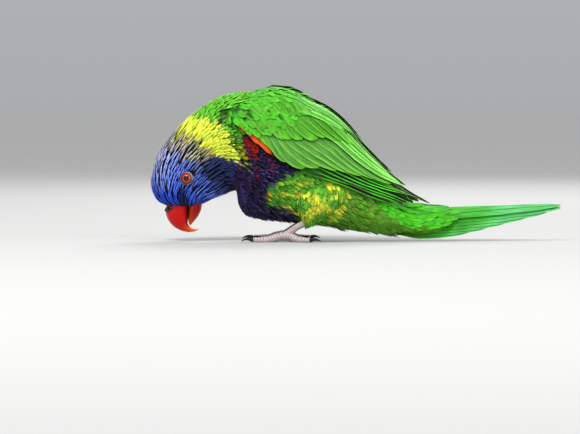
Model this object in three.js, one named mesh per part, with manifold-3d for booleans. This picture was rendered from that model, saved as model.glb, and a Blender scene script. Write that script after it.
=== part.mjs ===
// A rainbow lorikeet, life size, standing with its head bent down to feed and its wings loosely folded.
// Millimetres, +Z up. The bird faces -X, its left side is -Y, and the floor is Z = 0.
import * as THREE from 'three';
import { mergeVertices } from 'three/addons/utils/BufferGeometryUtils.js';
import Module from 'manifold-3d';

const wasm = await Module();
wasm.setup();

// Driving sizes
const GAP = 0.3;                 // clearance between neighbouring pieces
const VANE_THICKNESS = 0.62;     // a feather's blade
const LENGTH_VARIATION = 1.6;    // the spread of a tier's feather lengths
const STAGGER = 0.1;             // every other feather of a tier lies this much further out
const SLIVER = 0.08;             // edges shorter than this are drawn together after a join or a cut
const BODY_SEGMENTS = 20;        // sides of the body's sections
const TAIL_SEGMENTS = 14;        // sides of the tail root's sections
const RINGS_PER_STATION = 1.6;   // body sections made between two stations
const NECK_FROM = 5.6;           // station where the head ends and the neck starts
const TORSO_FROM = 8.3;          // station where the neck ends and the torso starts
const TAIL_FROM = 15.8;          // station where the torso ends and the tail starts
const TAIL_ROLL = 45;            // degrees by which the tail's top is turned to the bird's left
const RIGHT_WING_LIFT = 2.4;     // the right wing's top edge stands this much higher than the left one's
const COVER_DEPTH = 6.3;         // depth of the feathers over the middle of a wing's top edge
const TIP_COVER_DEPTH = 2.4;     // and over its tip
const HANG = 20;                 // millimetres by which a wing vane hangs lower for each unit of q past 1
const ORIGIN_FROM_FEET = new THREE.Vector3(41.2, 0, 0);  // the middle of the bird, from between its feet

// Body stations from the face to the vent: back point (x, z), belly point (x, z), half width, egg.
// Egg above 0 puts the widest part nearer the back.
const BODY = [
  [-75.0, 21.1, -55.8, 21.7, 8.6, 0.0],
  [-82.2, 25.4, -52.1, 23.9, 12.0, 0.0],
  [-85.6, 32.9, -48.4, 26.0, 14.2, 0.0],
  [-85.2, 42.2, -44.0, 27.9, 15.4, 0.05],
  [-82.2, 52.7, -39.7, 29.4, 15.8, 0.1],
  [-75.6, 62.9, -36.0, 31.0, 16.0, 0.1],
  [-67.0, 72.5, -33.5, 31.6, 16.6, 0.08],
  [-56.4, 81.2, -32.5, 30.4, 18.4, 0.04],
  [-44.0, 88.7, -32.2, 27.9, 21.4, 0.0],
  [-29.1, 92.0, -31.6, 22.9, 24.6, -0.04],
  [-13.6, 91.4, -27.3, 16.7, 26.6, -0.06],
  [0.6, 87.3, -17.4, 13.6, 27.4, -0.06],
  [12.6, 81.0, -3.7, 12.1, 27.0, -0.06],
  [23.5, 70.5, 10.5, 10.8, 25.2, -0.06],
  [33.0, 57.0, 24.8, 9.2, 22.0, -0.04],
  [42.5, 43.5, 39.1, 6.9, 18.0, 0.0],
  [54.0, 31.5, 53.9, 4.8, 14.0, 0.0],
];

// Wing outline in its own plane: distance from the bend towards the tip, then heights above the bend-to-tip
// line of the top edge, the lower edge and the widest level, then half the width of both wings together.
const WING_BEND = [-36.6, 76.3];
const WING_TIP = [86.8, 21.7];
const WING = [
  [-12, 0.5, -0.5, 0.0, 17.5],
  [-4, 5.0, 1.0, 3.0, 21.0],
  [2, 13.0, -2.0, 1.5, 23.4],
  [8, 20.0, -4.7, -0.5, 25.2],
  [15, 25.2, -7.0, -3.0, 26.6],
  [28, 30.4, -10.5, -7.0, 28.0],
  [40, 31.4, -14.5, -9.3, 28.4],
  [52, 31.2, -13.4, -9.7, 27.8],
  [65, 27.6, -8.2, -7.8, 25.8],
  [80, 20.6, -4.5, -5.7, 22.4],
  [95, 13.6, -2.0, -3.3, 18.4],
  [110, 7.4, 0.4, -0.9, 14.4],
  [122, 3.6, 0.4, -0.2, 11.0],
  [138, 1.2, -0.2, -0.4, 7.4],
];

// Small helpers

const radians = THREE.MathUtils.degToRad;
const lerp = THREE.MathUtils.lerp;
const smooth = (x, from, to) => THREE.MathUtils.smoothstep(x, from, to);

// A row of a table at x, where column 0 holds x, by cubic Hermite curves.
function rowAt(table, x) {
  const last = table.length - 1;
  let i = 0;
  while (i < last - 1 && table[i + 1][0] <= x) i += 1;
  const slope = (k, c) => {
    const a = table[Math.max(k - 1, 0)];
    const b = table[Math.min(k + 1, last)];
    return (b[c] - a[c]) / (b[0] - a[0]);
  };
  const span = table[i + 1][0] - table[i][0];
  const u = (x - table[i][0]) / span;
  return table[i].map((from, c) => {
    if (c === 0) return x;
    if (u < 0) return from + slope(i, c) * (x - table[i][0]);
    if (u > 1) return table[i + 1][c] + slope(i + 1, c) * (x - table[i + 1][0]);
    const to = table[i + 1][c];
    const a = slope(i, c) * span;
    const b = slope(i + 1, c) * span;
    return from * (1 + 2 * u) * (1 - u) ** 2 + a * u * (1 - u) ** 2
      + to * u * u * (3 - 2 * u) + b * u * u * (u - 1);
  });
}

// Repeatable random numbers from 0 to 1.
function makeRandom(seed) {
  let state = seed;
  return () => {
    state = (state * 1664525 + 1013904223) % 4294967296;
    return state / 4294967296;
  };
}

// A closed mesh from points and triangles as a solid, turned to face out.
function solidFrom(points, triangles) {
  let volume = 0;
  for (const [a, b, c] of triangles) {
    volume += points[a].dot(new THREE.Vector3().crossVectors(points[b], points[c]));
  }
  const faces = volume < 0 ? triangles.map(([a, b, c]) => [a, c, b]) : triangles;
  return new wasm.Manifold(new wasm.Mesh({
    numProp: 3,
    vertProperties: new Float32Array(points.flatMap((p) => [p.x, p.y, p.z])),
    triVerts: new Uint32Array(faces.flat()),
  }));
}

// One of three.js's own closed geometries as a solid.
function solidOf(geometry, matrix = new THREE.Matrix4()) {
  geometry.deleteAttribute('normal');
  geometry.deleteAttribute('uv');
  const merged = mergeVertices(geometry.applyMatrix4(matrix), 1e-4);
  return new wasm.Manifold(new wasm.Mesh({
    numProp: 3,
    vertProperties: merged.attributes.position.array,
    triVerts: new Uint32Array(merged.index.array),
  }));
}

// Rings of equally many points, joined and closed with a flat cap at each end. The diagonals of the first
// half's quads run alongside those of the second half, so a thin bent plate never cuts through itself.
function skinRings(rings) {
  const sides = rings[0].length;
  const points = rings.flat();
  const triangles = [];
  for (let r = 0; r + 1 < rings.length; r += 1) {
    for (let s = 0; s < sides; s += 1) {
      const a = r * sides + s;
      const b = r * sides + (s + 1) % sides;
      if (s < sides / 2) triangles.push([a, b, a + sides], [b, b + sides, a + sides]);
      else triangles.push([a, b, b + sides], [a, b + sides, a + sides]);
    }
  }
  const last = (rings.length - 1) * sides;
  for (let s = 1; s + 1 < sides; s += 1) {
    triangles.push([0, s + 1, s], [last, last + s, last + s + 1]);
  }
  return solidFrom(points, triangles);
}

// A round tube along a list of { at, radius } with flat ends.
function tube(stops, sides) {
  const rings = stops.map((stop, i) => {
    const ahead = stops[Math.min(i + 1, stops.length - 1)].at;
    const behind = stops[Math.max(i - 1, 0)].at;
    const along = new THREE.Vector3().subVectors(ahead, behind).normalize();
    const side = new THREE.Vector3().crossVectors(along, new THREE.Vector3(0.13, 0.31, 0.94)).normalize();
    const up = new THREE.Vector3().crossVectors(side, along);
    return Array.from({ length: sides }, (_, s) => {
      const turn = (2 * Math.PI * s) / sides;
      return stop.at.clone()
        .addScaledVector(side, stop.radius * Math.cos(turn))
        .addScaledVector(up, stop.radius * Math.sin(turn));
    });
  });
  return skinRings(rings);
}

// The closed surface of largest volume, with any scrap or sealed hollow dropped.
function largestOf(solid) {
  const pieces = solid.simplify(SLIVER).decompose();
  pieces.sort((a, b) => b.volume() - a.volume());
  return pieces[0];
}

function joined(solids) {
  return largestOf(wasm.Manifold.union(solids));
}

// Body

function bodyStation(s) {
  const table = BODY.map((row, i) => [i, ...row]);
  const [, backX, backZ, bellyX, bellyZ, half, egg] = rowAt(table, s);
  const back = new THREE.Vector3(backX, 0, backZ);
  const belly = new THREE.Vector3(bellyX, 0, bellyZ);
  const centre = back.clone().add(belly).multiplyScalar(0.5);
  const reach = back.distanceTo(belly) / 2;
  return { centre, reach, half, egg, up: back.sub(belly).normalize() };
}

function bodyPoint(s, turn, grow = 0) {
  const { centre, reach, half, egg, up } = bodyStation(s);
  const y = (half + grow) * Math.sin(turn) * (1 + egg * Math.cos(turn));
  return centre.clone().addScaledVector(up, (reach + grow) * Math.cos(turn)).setY(y);
}

function bodyRing(s, grow) {
  const step = (2 * Math.PI) / BODY_SEGMENTS;
  return Array.from({ length: BODY_SEGMENTS }, (_, i) => bodyPoint(s, i * step, grow));
}

// The part of the body between two stations, grown all round by that much.
function bodyLength(from, to, grow = 0) {
  const count = Math.max(3, Math.round((to - from) * RINGS_PER_STATION) + 1);
  const rings = Array.from({ length: count }, (_, i) => bodyRing(lerp(from, to, i / (count - 1)), grow));
  return skinRings(rings);
}

// A thin plate across the body at a station, which parts two nodes there.
function partingPlate(s) {
  const { centre, reach, half, up } = bodyStation(s);
  const along = new THREE.Vector3().crossVectors(new THREE.Vector3(0, 1, 0), up);
  const plate = new THREE.BoxGeometry(GAP, 3 * half, 2 * reach + 0.6);
  const matrix = new THREE.Matrix4().makeBasis(along, new THREE.Vector3(0, 1, 0), up).setPosition(centre);
  return solidOf(plate, matrix);
}

// Wings

const wingStart = new THREE.Vector3(WING_BEND[0], 0, WING_BEND[1]);
const wingAlong = new THREE.Vector3(WING_TIP[0] - WING_BEND[0], 0, WING_TIP[1] - WING_BEND[1]).normalize();
const wingUp = new THREE.Vector3(-wingAlong.z, 0, wingAlong.x);

// How deep the feathers over the wing's top edge are.
const coverDepth = (t) => COVER_DEPTH * smooth(t, 8, 44) - (COVER_DEPTH - TIP_COVER_DEPTH) * smooth(t, 76, 122);

// A point of the left wing's inner surface: t from the bend towards the tip, q from the top edge (0) to the
// lower (1). Past 1 the surface hangs straight down.
function wingInner(t, q, lift = 0) {
  const [, outline, low, widest, half] = rowAt(WING, t);
  const height = Math.max(outline - coverDepth(t) - widest, 0.8);
  const lowest = Math.acos(THREE.MathUtils.clamp((low - widest) / height, -0.6, 0.9));
  const highest = Math.asin(1.4 / half);
  const turn = lerp(highest, lowest, Math.min(q, 1));
  const raised = lift * (1 - Math.min(q, 1)) * smooth(t, 5, 34) - HANG * Math.max(q - 1, 0);
  return wingStart.clone()
    .addScaledVector(wingAlong, t)
    .addScaledVector(wingUp, widest + height * Math.cos(turn) + raised)
    .setY(-half * Math.sin(turn));
}

function wingNormal(t, q, lift) {
  const step = 0.5;
  const share = 0.02;
  const alongT = wingInner(t + step, q, lift).sub(wingInner(t - step, q, lift));
  const alongQ = wingInner(t, q + share, lift).sub(wingInner(t, q - share, lift));
  return alongQ.cross(alongT).normalize();
}

function wingPoint(t, q, out, lift) {
  return wingInner(t, q, lift).addScaledVector(wingNormal(t, q, lift), out);
}

// The wing's top edge starts low at the bend, under the back's feathers, and rises to the back's midline.
const wingTop = (t) => lerp(0.4, 0.02, smooth(t, -4, 24));

// A closed sheet over the wing's surface between two offsets, given as functions of t and q, as is the q where
// it ends. It starts past the wing's top edge by fromQ.
function wingSheet({ fromT, toT, fromQ, toQ, stepsT, stepsQ, inner, outer, lift }) {
  const rows = stepsT + 1;
  const columns = stepsQ + 1;
  const points = [];
  for (const offset of [inner, outer]) {
    for (let i = 0; i < rows; i += 1) {
      for (let j = 0; j < columns; j += 1) {
        const t = lerp(fromT, toT, i / stepsT);
        const q = lerp(wingTop(t) + fromQ, toQ(t), j / stepsQ);
        points.push(wingPoint(t, q, offset(t, q), lift));
      }
    }
  }
  return sheetSolid(points, rows, columns);
}

// The solid between two grids of points, the first grid's points before the second's.
function sheetSolid(points, rows, columns) {
  const triangles = [];
  const far = rows * columns;
  const at = (i, j) => i * columns + j;
  for (let i = 0; i + 1 < rows; i += 1) {
    for (let j = 0; j + 1 < columns; j += 1) {
      const [a, b, c, d] = [at(i, j), at(i, j + 1), at(i + 1, j), at(i + 1, j + 1)];
      triangles.push([a, b, c], [b, d, c], [far + a, far + c, far + b], [far + b, far + c, far + d]);
    }
  }
  const rim = [];
  for (let j = 0; j < columns; j += 1) rim.push(at(0, j));
  for (let i = 1; i < rows; i += 1) rim.push(at(i, columns - 1));
  for (let j = columns - 2; j >= 0; j -= 1) rim.push(at(rows - 1, j));
  for (let i = rows - 2; i > 0; i -= 1) rim.push(at(i, 0));
  rim.forEach((a, k) => {
    const b = rim[(k + 1) % rim.length];
    triangles.push([b, a, far + a], [b, far + a, far + b]);
  });
  return solidFrom(points, triangles);
}

// Where along a vane its sections stand.
const FLIGHT_SECTIONS = [0, 0.36, 0.86, 1];
const COVERT_SECTIONS = [0, 0.42, 0.82, 1];

// Half the width of a vane at share k of its length: widening from the root, then rounding to the tip.
function vaneHalf(k, half, point) {
  const root = lerp(0.45, 1, smooth(k, 0, 0.3));
  const tip = Math.sqrt(Math.max(0, 1 - Math.max(0, (k - point) / (1.0001 - point)) ** 2));
  return half * root * Math.max(tip, 0.24);
}

// One feather blade: a thin bent plate through sections of { at, side, normal }.
function vane(sections) {
  const rings = sections.map(({ at, side, normal, half, roll = 0 }) => {
    const across = side.clone().applyAxisAngle(new THREE.Vector3().crossVectors(side, normal), roll);
    const out = normal.clone().applyAxisAngle(new THREE.Vector3().crossVectors(side, normal), roll);
    const corner = (x, h) => at.clone()
      .addScaledVector(across, x * half)
      .addScaledVector(out, h * VANE_THICKNESS);
    return [corner(-1, -0.5), corner(1, -0.5), corner(1, 0.5), corner(-1, 0.5)];
  });
  return skinRings(rings);
}

// A feather lying on the wing from root (t, q) to tip (t, q), at offsets from the wing's inner surface.
function wingVane({ root, tip, half, offset, roll, point = 0.62, lift, sections = FLIGHT_SECTIONS }) {
  const place = (k) => {
    const t = lerp(root[0], tip[0], k);
    const q = lerp(root[1], tip[1], k);
    return { t, q, at: wingPoint(t, q, lerp(offset[0], offset[1], smooth(k, 0, 0.5)), lift) };
  };
  return vane(sections.map((k) => {
    const { t, q, at } = place(k);
    const along = place(Math.min(k + 0.02, 1)).at.sub(place(Math.max(k - 0.02, 0)).at).normalize();
    const normal = wingNormal(t, q, lift);
    const side = new THREE.Vector3().crossVectors(normal, along).normalize();
    return {
      at, side,
      normal: new THREE.Vector3().crossVectors(along, side).normalize(),
      half: vaneHalf(k, half, point),
      roll: roll * smooth(k, 0, 0.35),
    };
  }));
}

// The tiers of a wing, from the innermost out: the primaries and secondaries, the tertials over them, then the
// primary, greater and median coverts. Each has its feather count and, for its first and last feather, root and
// tip as (t, q), half width, offsets at root and tip, and the roll that lets neighbours overlap.
const WING_TIERS = [
  { count: 5, root: [[42, 0.6], [46, 0.88]], tip: [[134, 0.84], [111, 1.38]],
    half: [3.3, 2.7], offset: [1.2, 1.2], roll: 12, point: 0.75 },
  { count: 7, root: [[14, 0.74], [42, 0.44]], tip: [[47, 0.95], [108, 0.78]],
    half: [4.8, 5.6], offset: [2.0, 2.3], roll: 9, point: 0.66 },
  { count: 4, root: [[40, 0.38], [26, 0.1]], tip: [[112, 0.66], [95, 0.1]],
    half: [5.4, 5.2], offset: [2.4, 3.4], roll: 8, point: 0.66 },
  { count: 3, root: [[4, 0.82], [14, 0.93]], tip: [[31, 0.92], [44, 0.96]],
    half: [3.2, 3.0], offset: [1.6, 1.2], roll: 6, point: 0.6, sections: COVERT_SECTIONS },
  { count: 7, root: [[8, 0.66], [42, 0.2]], tip: [[27, 0.84], [74, 0.4]],
    half: [4.6, 5.4], offset: [2.6, 4.4], roll: 8, point: 0.55, sections: COVERT_SECTIONS },
  { count: 5, root: [[6, 0.5], [32, 0.12]], tip: [[19, 0.66], [54, 0.26]],
    half: [4.6, 5.2], offset: [3.0, 5.4], roll: 7, point: 0.5, sections: COVERT_SECTIONS },
];

// How thick the fleshy arm of the wing is, with the small feathers that hide it.
function armThickness(t, q) {
  const front = smooth(t, -5, 6);
  const back = 1 - smooth(t, 22, 50);
  return 0.9 + 3.0 * front * back * (1 - 0.45 * smooth(q, 0.6, 1));
}

function wing(side) {
  const lift = side > 0 ? RIGHT_WING_LIFT : 0;
  const random = makeRandom(side > 0 ? 11 : 7);
  const arm = wingSheet({
    fromT: -2, toT: 50, fromQ: 0, toQ: () => 0.96, stepsT: 5, stepsQ: 4,
    inner: () => GAP, outer: (t, q) => GAP + armThickness(t, q), lift,
  });
  const vanes = WING_TIERS.flatMap((tier) => Array.from({ length: tier.count }, (_, i) => {
    const share = i / (tier.count - 1);
    const mix = ([first, last]) => first.map((value, c) => lerp(value, last[c], share));
    const [tipT, tipQ] = mix(tier.tip);
    return wingVane({
      ...tier,
      root: mix(tier.root),
      tip: [tipT + LENGTH_VARIATION * (random() - 0.5), tipQ],
      half: lerp(tier.half[0], tier.half[1], share),
      offset: tier.offset.map((out) => out + STAGGER * (i % 2)),
      roll: radians(tier.roll),
      lift,
    });
  }));
  return onSide(joined([arm, ...vanes]), side);
}

// A solid made for the left side, or its mirror image for the right.
function onSide(solid, side) {
  return side > 0 ? solid.mirror([0, 1, 0]) : solid;
}

// The room that a folded wing takes, which is cut from the body under it.
function wingBed(side) {
  return onSide(wingSheet({
    fromT: -4, toT: 140, fromQ: -0.06, toQ: (t) => lerp(1.08, 1.5, smooth(t, 50, 90)), stepsT: 18, stepsQ: 8,
    inner: () => -0.5, outer: () => 16, lift: 0,
  }), side);
}

// Tail

// Sections of the tail's root: x, z, lean of the section, half height, half width, roll in degrees.
const TAIL_ROOT = [
  [53.4, 18.6, 0.02, 13.6, 14.2, 0],
  [60, 17.6, 0, 11.4, 13.2, 12],
  [68, 15.6, 0, 8.4, 12.4, 28],
  [78, 14.2, 0, 5.2, 11.6, 41],
  [90, 14.0, 0, 2.8, 9.4, TAIL_ROLL],
  [100, 14.6, 0, 1.6, 7.0, TAIL_ROLL],
];

// A point of the tail root's surface, grown by out. Turn 0 is the top, and positive turns go to the left.
function tailPoint(x, turn, out) {
  const [, z, lean, high, wide, roll] = rowAt(TAIL_ROOT, x);
  const up = new THREE.Vector3(lean, -Math.sin(radians(roll)), Math.cos(radians(roll))).normalize();
  const left = new THREE.Vector3(0, -Math.cos(radians(roll)), -Math.sin(radians(roll)));
  return new THREE.Vector3(x, 0, z)
    .addScaledVector(up, (Math.max(high, 0.6) + out) * Math.cos(turn))
    .addScaledVector(left, (Math.max(wide, 2) + out) * Math.sin(turn));
}

function tailRoot() {
  const step = (2 * Math.PI) / TAIL_SEGMENTS;
  const ring = (x) => Array.from({ length: TAIL_SEGMENTS }, (_, i) => tailPoint(x, i * step, 0));
  return skinRings([50, 58, 66, 74, 83, 92].map(ring));
}

// Long tail feathers, the central pair first: how far each reaches past TAIL_START, and its tip's distance
// from the tail's midline.
const TAIL_START = new THREE.Vector3(72, 0, 13.2);
const TAIL_TIP = new THREE.Vector3(168, 0, 21.1);
const RECTRIX_LENGTHS = [96, 87, 75, 63, 52, 42];
const RECTRIX_TIPS = [0.7, 2.4, 4.2, 5.8, 7.2, 8.2];
const RECTRIX_HALF = 4.7;
const RECTRIX_SPACING = 0.95;    // from one tail feather to the one under it

function tailVane({ start, end, half, normal, roll, point }) {
  const along = end.clone().sub(start).normalize();
  const side = new THREE.Vector3().crossVectors(normal, along).normalize();
  const out = new THREE.Vector3().crossVectors(along, side).normalize();
  return vane(FLIGHT_SECTIONS.map((k) => ({
    at: start.clone().lerp(end, k),
    side,
    normal: out,
    half: vaneHalf(k, half, point),
    roll: roll * smooth(k, 0, 0.3),
  })));
}

function longTailFeathers() {
  const roll = radians(TAIL_ROLL);
  const top = new THREE.Vector3(0, -Math.sin(roll), Math.cos(roll));
  const right = new THREE.Vector3(0, Math.cos(roll), Math.sin(roll));
  const direction = TAIL_TIP.clone().sub(TAIL_START).normalize();
  return RECTRIX_LENGTHS.flatMap((length, i) => [-1, 1].map((side) => {
    const depth = RECTRIX_SPACING * (i === 0 && side > 0 ? 1 : -i);
    const at = (distance, across) => TAIL_START.clone()
      .addScaledVector(direction, distance)
      .addScaledVector(right, side * across)
      .addScaledVector(top, depth);
    return tailVane({
      start: at(-6, 0.8 + RECTRIX_SPACING * i),
      end: at(length, RECTRIX_TIPS[i]),
      half: RECTRIX_HALF,
      normal: top,
      roll: side * radians(i === 0 ? 0 : 8),
      point: 0.42,
    });
  }));
}

// Coverts round the tail's root in tiers: turn of the first and last, where they start and end along x, how far
// out of the root they lie there, and how much further the middle ones reach.
const TAIL_COVERTS = [
  { count: 3, turns: [-48, 48], from: 60, to: 96, half: 5.4, out: [-1.6, 0.9], over: 4 },
  { count: 4, turns: [-66, 66], from: 55, to: 80, half: 5.8, out: [-1.6, 1.9], over: 2 },
  { count: 3, turns: [132, 228], from: 60, to: 98, half: 5.4, out: [-1.6, 0.8], over: 4 },
  { count: 4, turns: [114, 246], from: 55, to: 80, half: 5.8, out: [-1.6, 1.7], over: 2 },
];

function tailCoverts() {
  return TAIL_COVERTS.flatMap((tier) => Array.from({ length: tier.count }, (_, i) => {
    const middle = 1 - Math.abs(2 * i / (tier.count - 1) - 1);
    const turn = radians(lerp(tier.turns[0], tier.turns[1], i / (tier.count - 1)));
    const end = tier.to + tier.over * middle;
    const outAt = (k) => lerp(tier.out[0], tier.out[1], smooth(k, 0, 0.5));
    const place = (k) => tailPoint(lerp(tier.from, end, k), turn, outAt(k));
    return vane(COVERT_SECTIONS.map((k) => {
      const at = place(k);
      const along = place(Math.min(1, k + 0.03)).sub(place(Math.max(0, k - 0.03))).normalize();
      const x = lerp(tier.from, end, k);
      const outward = tailPoint(x, turn, 1).sub(tailPoint(x, turn, 0)).normalize();
      const side = new THREE.Vector3().crossVectors(outward, along).normalize();
      return {
        at, side,
        normal: new THREE.Vector3().crossVectors(along, side),
        half: vaneHalf(k, tier.half, 0.55),
      };
    }));
  }));
}

// Head, eyes and bill

const EYE = { x: -63.2, z: 39.1, y: 13.6, radius: 4.1, opening: 3.1 };
const FACE_FROM = new THREE.Vector3(-78.7, 0, 18.6);   // the bill's base line, from over the culmen
const FACE_TO = new THREE.Vector3(-52.7, 0, 23.9);     // to under the chin

// Bill stations: outer point (x, z), inner point (x, z), half width.
const UPPER_BILL = [
  [-76.2, 23.6, -62.4, 26.4, 7.0],
  [-77.1, 18.2, -62.9, 21.6, 7.0],
  [-75.4, 13.0, -63.0, 17.6, 6.2],
  [-72.2, 9.1, -63.2, 14.2, 5.0],
  [-67.8, 6.6, -63.3, 10.9, 3.6],
  [-63.2, 5.5, -61.6, 8.5, 2.2],
  [-59.6, 5.8, -58.9, 7.5, 1.1],
  [-56.9, 6.9, -56.8, 7.4, 0.4],
];
const LOWER_BILL = [
  [-54.4, 26.4, -62.4, 27.4, 6.2],
  [-54.6, 22.4, -62.5, 22.6, 6.0],
  [-55.4, 18.6, -62.6, 18.8, 5.2],
  [-57.6, 14.6, -62.8, 15.6, 4.0],
  [-60.6, 10.9, -62.7, 12.6, 2.0],
];

// A bill half through its stations, flatter on the side where the two halves meet.
function billSolid(stations, sides = 14, steps = 2) {
  const table = stations.map((row, i) => [i, ...row]);
  const count = (stations.length - 1) * steps + 1;
  return skinRings(Array.from({ length: count }, (_, r) => {
    const [, outX, outZ, inX, inZ, half] = rowAt(table, r / steps);
    const outer = new THREE.Vector3(outX, 0, outZ);
    const inner = new THREE.Vector3(inX, 0, inZ);
    return Array.from({ length: sides }, (_, s) => {
      const turn = (2 * Math.PI * s) / sides;
      const share = 0.5 - 0.5 * Math.cos(turn);
      const swell = Math.sin(turn) * (1 + 0.25 * share);
      return outer.clone().lerp(inner, share).setY(half * swell);
    });
  }));
}

// Half space below or above the face line, as a large block whose face lies that far from the line.
function faceBlock(below, distance) {
  const along = FACE_TO.clone().sub(FACE_FROM).normalize();
  const up = new THREE.Vector3(-along.z, 0, along.x);
  const size = 80;
  const shift = below ? -size / 2 + distance : size / 2 + distance;
  const matrix = new THREE.Matrix4().makeBasis(along, new THREE.Vector3(0, 1, 0), up)
    .setPosition(FACE_FROM.clone().lerp(FACE_TO, 0.5).addScaledVector(up, shift));
  return solidOf(new THREE.BoxGeometry(size, size, size), matrix);
}

function at(x, y, z) {
  return new THREE.Matrix4().makeTranslation(x, y, z);
}

function eyeLid(side) {
  const ring = new THREE.TorusGeometry(EYE.opening + 0.5, 0.75, 5, 14);
  const matrix = new THREE.Matrix4().makeRotationX(Math.PI / 2)
    .setPosition(EYE.x, side * (EYE.y + 2.5), EYE.z);
  return solidOf(ring, matrix);
}

const CERE = { x: -75.2, z: 22.6, y: 3.4, radius: 3.9, nostril: 0.9 };

function head() {
  let solid = bodyLength(0, NECK_FROM).subtract(faceBlock(true, GAP / 2));
  const cere = [-1, 1].map((side) => solidOf(
    new THREE.SphereGeometry(CERE.radius, 10, 6), at(CERE.x, side * CERE.y, CERE.z)));
  solid = wasm.Manifold.union([solid, eyeLid(-1), eyeLid(1), ...cere]).subtract(faceBlock(true, GAP / 2));
  for (const side of [-1, 1]) {
    const socket = new THREE.SphereGeometry(EYE.radius + GAP, 14, 8);
    const nostril = new THREE.CylinderGeometry(CERE.nostril, CERE.nostril, 4, 8);
    solid = solid.subtract(solidOf(socket, at(EYE.x, side * EYE.y, EYE.z)))
      .subtract(solidOf(nostril, at(CERE.x - 1.2, side * (CERE.y + 3.2), CERE.z - 1.0)));
  }
  return largestOf(solid.subtract(partingPlate(NECK_FROM)));
}

function eye(side) {
  return solidOf(new THREE.SphereGeometry(EYE.radius, 14, 8), at(EYE.x, side * EYE.y, EYE.z));
}

function upperBill() {
  return largestOf(billSolid(UPPER_BILL).subtract(faceBlock(false, -GAP / 2)));
}

// The lower half ends a gap away from the upper half.
function lowerBill() {
  return largestOf(billSolid(LOWER_BILL, 12).subtract(faceBlock(false, -GAP / 2)));
}

// Legs

const FOOT = { x: -3, y: 15.5, z: 3.6 };       // where the toes meet
const ANKLE = { x: 11, y: 17.5, z: 12.4 };
// Toes: heading in degrees from straight ahead, outward positive, then length and radius.
const TOES = [
  { name: 'inner_front', heading: -15, length: 15.5, radius: 2.0 },
  { name: 'outer_front', heading: 13, length: 20.5, radius: 2.15 },
  { name: 'outer_hind', heading: 153, length: 17.5, radius: 2.1 },
  { name: 'inner_hind', heading: -162, length: 11.0, radius: 1.8 },
];
const CLAW = { length: 7.4, radius: 1.25 };
// Thigh sections, from the top down: middle (x, y, z), then half its length and half its width.
const THIGH = [
  [22, 13.0, 41, 9.0, 4.0],
  [20.5, 16.6, 34, 14.6, 8.6],
  [18.5, 18.4, 26, 15.4, 9.8],
  [15.5, 18.4, 18, 10.4, 7.6],
  [12.6, 17.7, 12, 4.6, 4.0],
];

// A direction over the floor from a toe's heading, for the left foot.
function toeDirection(heading) {
  return new THREE.Vector3(-Math.cos(radians(heading)), -Math.sin(radians(heading)), 0);
}

// The toe's line: up over its first joint, then flat along the floor.
function toeLine(toe, k) {
  const root = new THREE.Vector3(FOOT.x, -FOOT.y, FOOT.z);
  const arch = 0.9 * Math.sin(Math.PI * Math.min(1, k / 0.6));
  const height = lerp(FOOT.z, toe.radius * 0.62, smooth(k, 0, 0.45)) + arch;
  return root.addScaledVector(toeDirection(toe.heading), toe.length * k).setZ(height);
}

function toeSolid(toe) {
  const steps = 6;
  const stops = Array.from({ length: steps + 1 }, (_, i) => {
    const k = i / steps;
    const knuckle = 1 + 0.08 * Math.cos(Math.PI * i);
    return { at: toeLine(toe, k), radius: toe.radius * lerp(1.08, 0.74, k) * knuckle };
  });
  return tube(stops, 7);
}

function clawSolid(toe) {
  const steps = 3;
  const end = toeLine(toe, 1);
  const direction = toeDirection(toe.heading);
  const stops = Array.from({ length: steps + 1 }, (_, i) => {
    const k = i / steps;
    const height = end.z + 0.7 * Math.sin(Math.PI * k) - (end.z - 0.75) * k * k;
    return {
      at: end.clone().addScaledVector(direction, 2 * GAP + CLAW.length * k).setZ(height),
      radius: lerp(CLAW.radius, 0.22, k ** 1.3),
    };
  });
  return tube(stops, 6);
}

function floorBlock() {
  return solidOf(new THREE.BoxGeometry(200, 200, 40), at(0, 0, -20));
}

function foot() {
  const shank = tube([
    { at: new THREE.Vector3(ANKLE.x, -ANKLE.y, ANKLE.z), radius: 2.3 },
    { at: new THREE.Vector3(lerp(ANKLE.x, FOOT.x, 0.35), -lerp(ANKLE.y, FOOT.y, 0.35), 10.2), radius: 2.0 },
    { at: new THREE.Vector3(lerp(ANKLE.x, FOOT.x, 0.7), -lerp(ANKLE.y, FOOT.y, 0.7), 6.9), radius: 2.05 },
    { at: new THREE.Vector3(FOOT.x - 0.4, -FOOT.y, FOOT.z - 0.2), radius: 2.5 },
  ], 8);
  return joined([shank, ...TOES.map(toeSolid)]).subtract(floorBlock());
}

function thigh() {
  const table = THIGH.map((row, i) => [i, ...row]);
  const steps = 6;
  const sides = 12;
  return skinRings(Array.from({ length: steps + 1 }, (_, r) => {
    const [, x, y, z, alongX, alongY] = rowAt(table, (r / steps) * (THIGH.length - 1));
    return Array.from({ length: sides }, (_, s) => {
      const turn = (2 * Math.PI * s) / sides;
      return new THREE.Vector3(x + alongX * Math.cos(turn), -y + alongY * Math.sin(turn), z);
    });
  }));
}

// Materials

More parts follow.
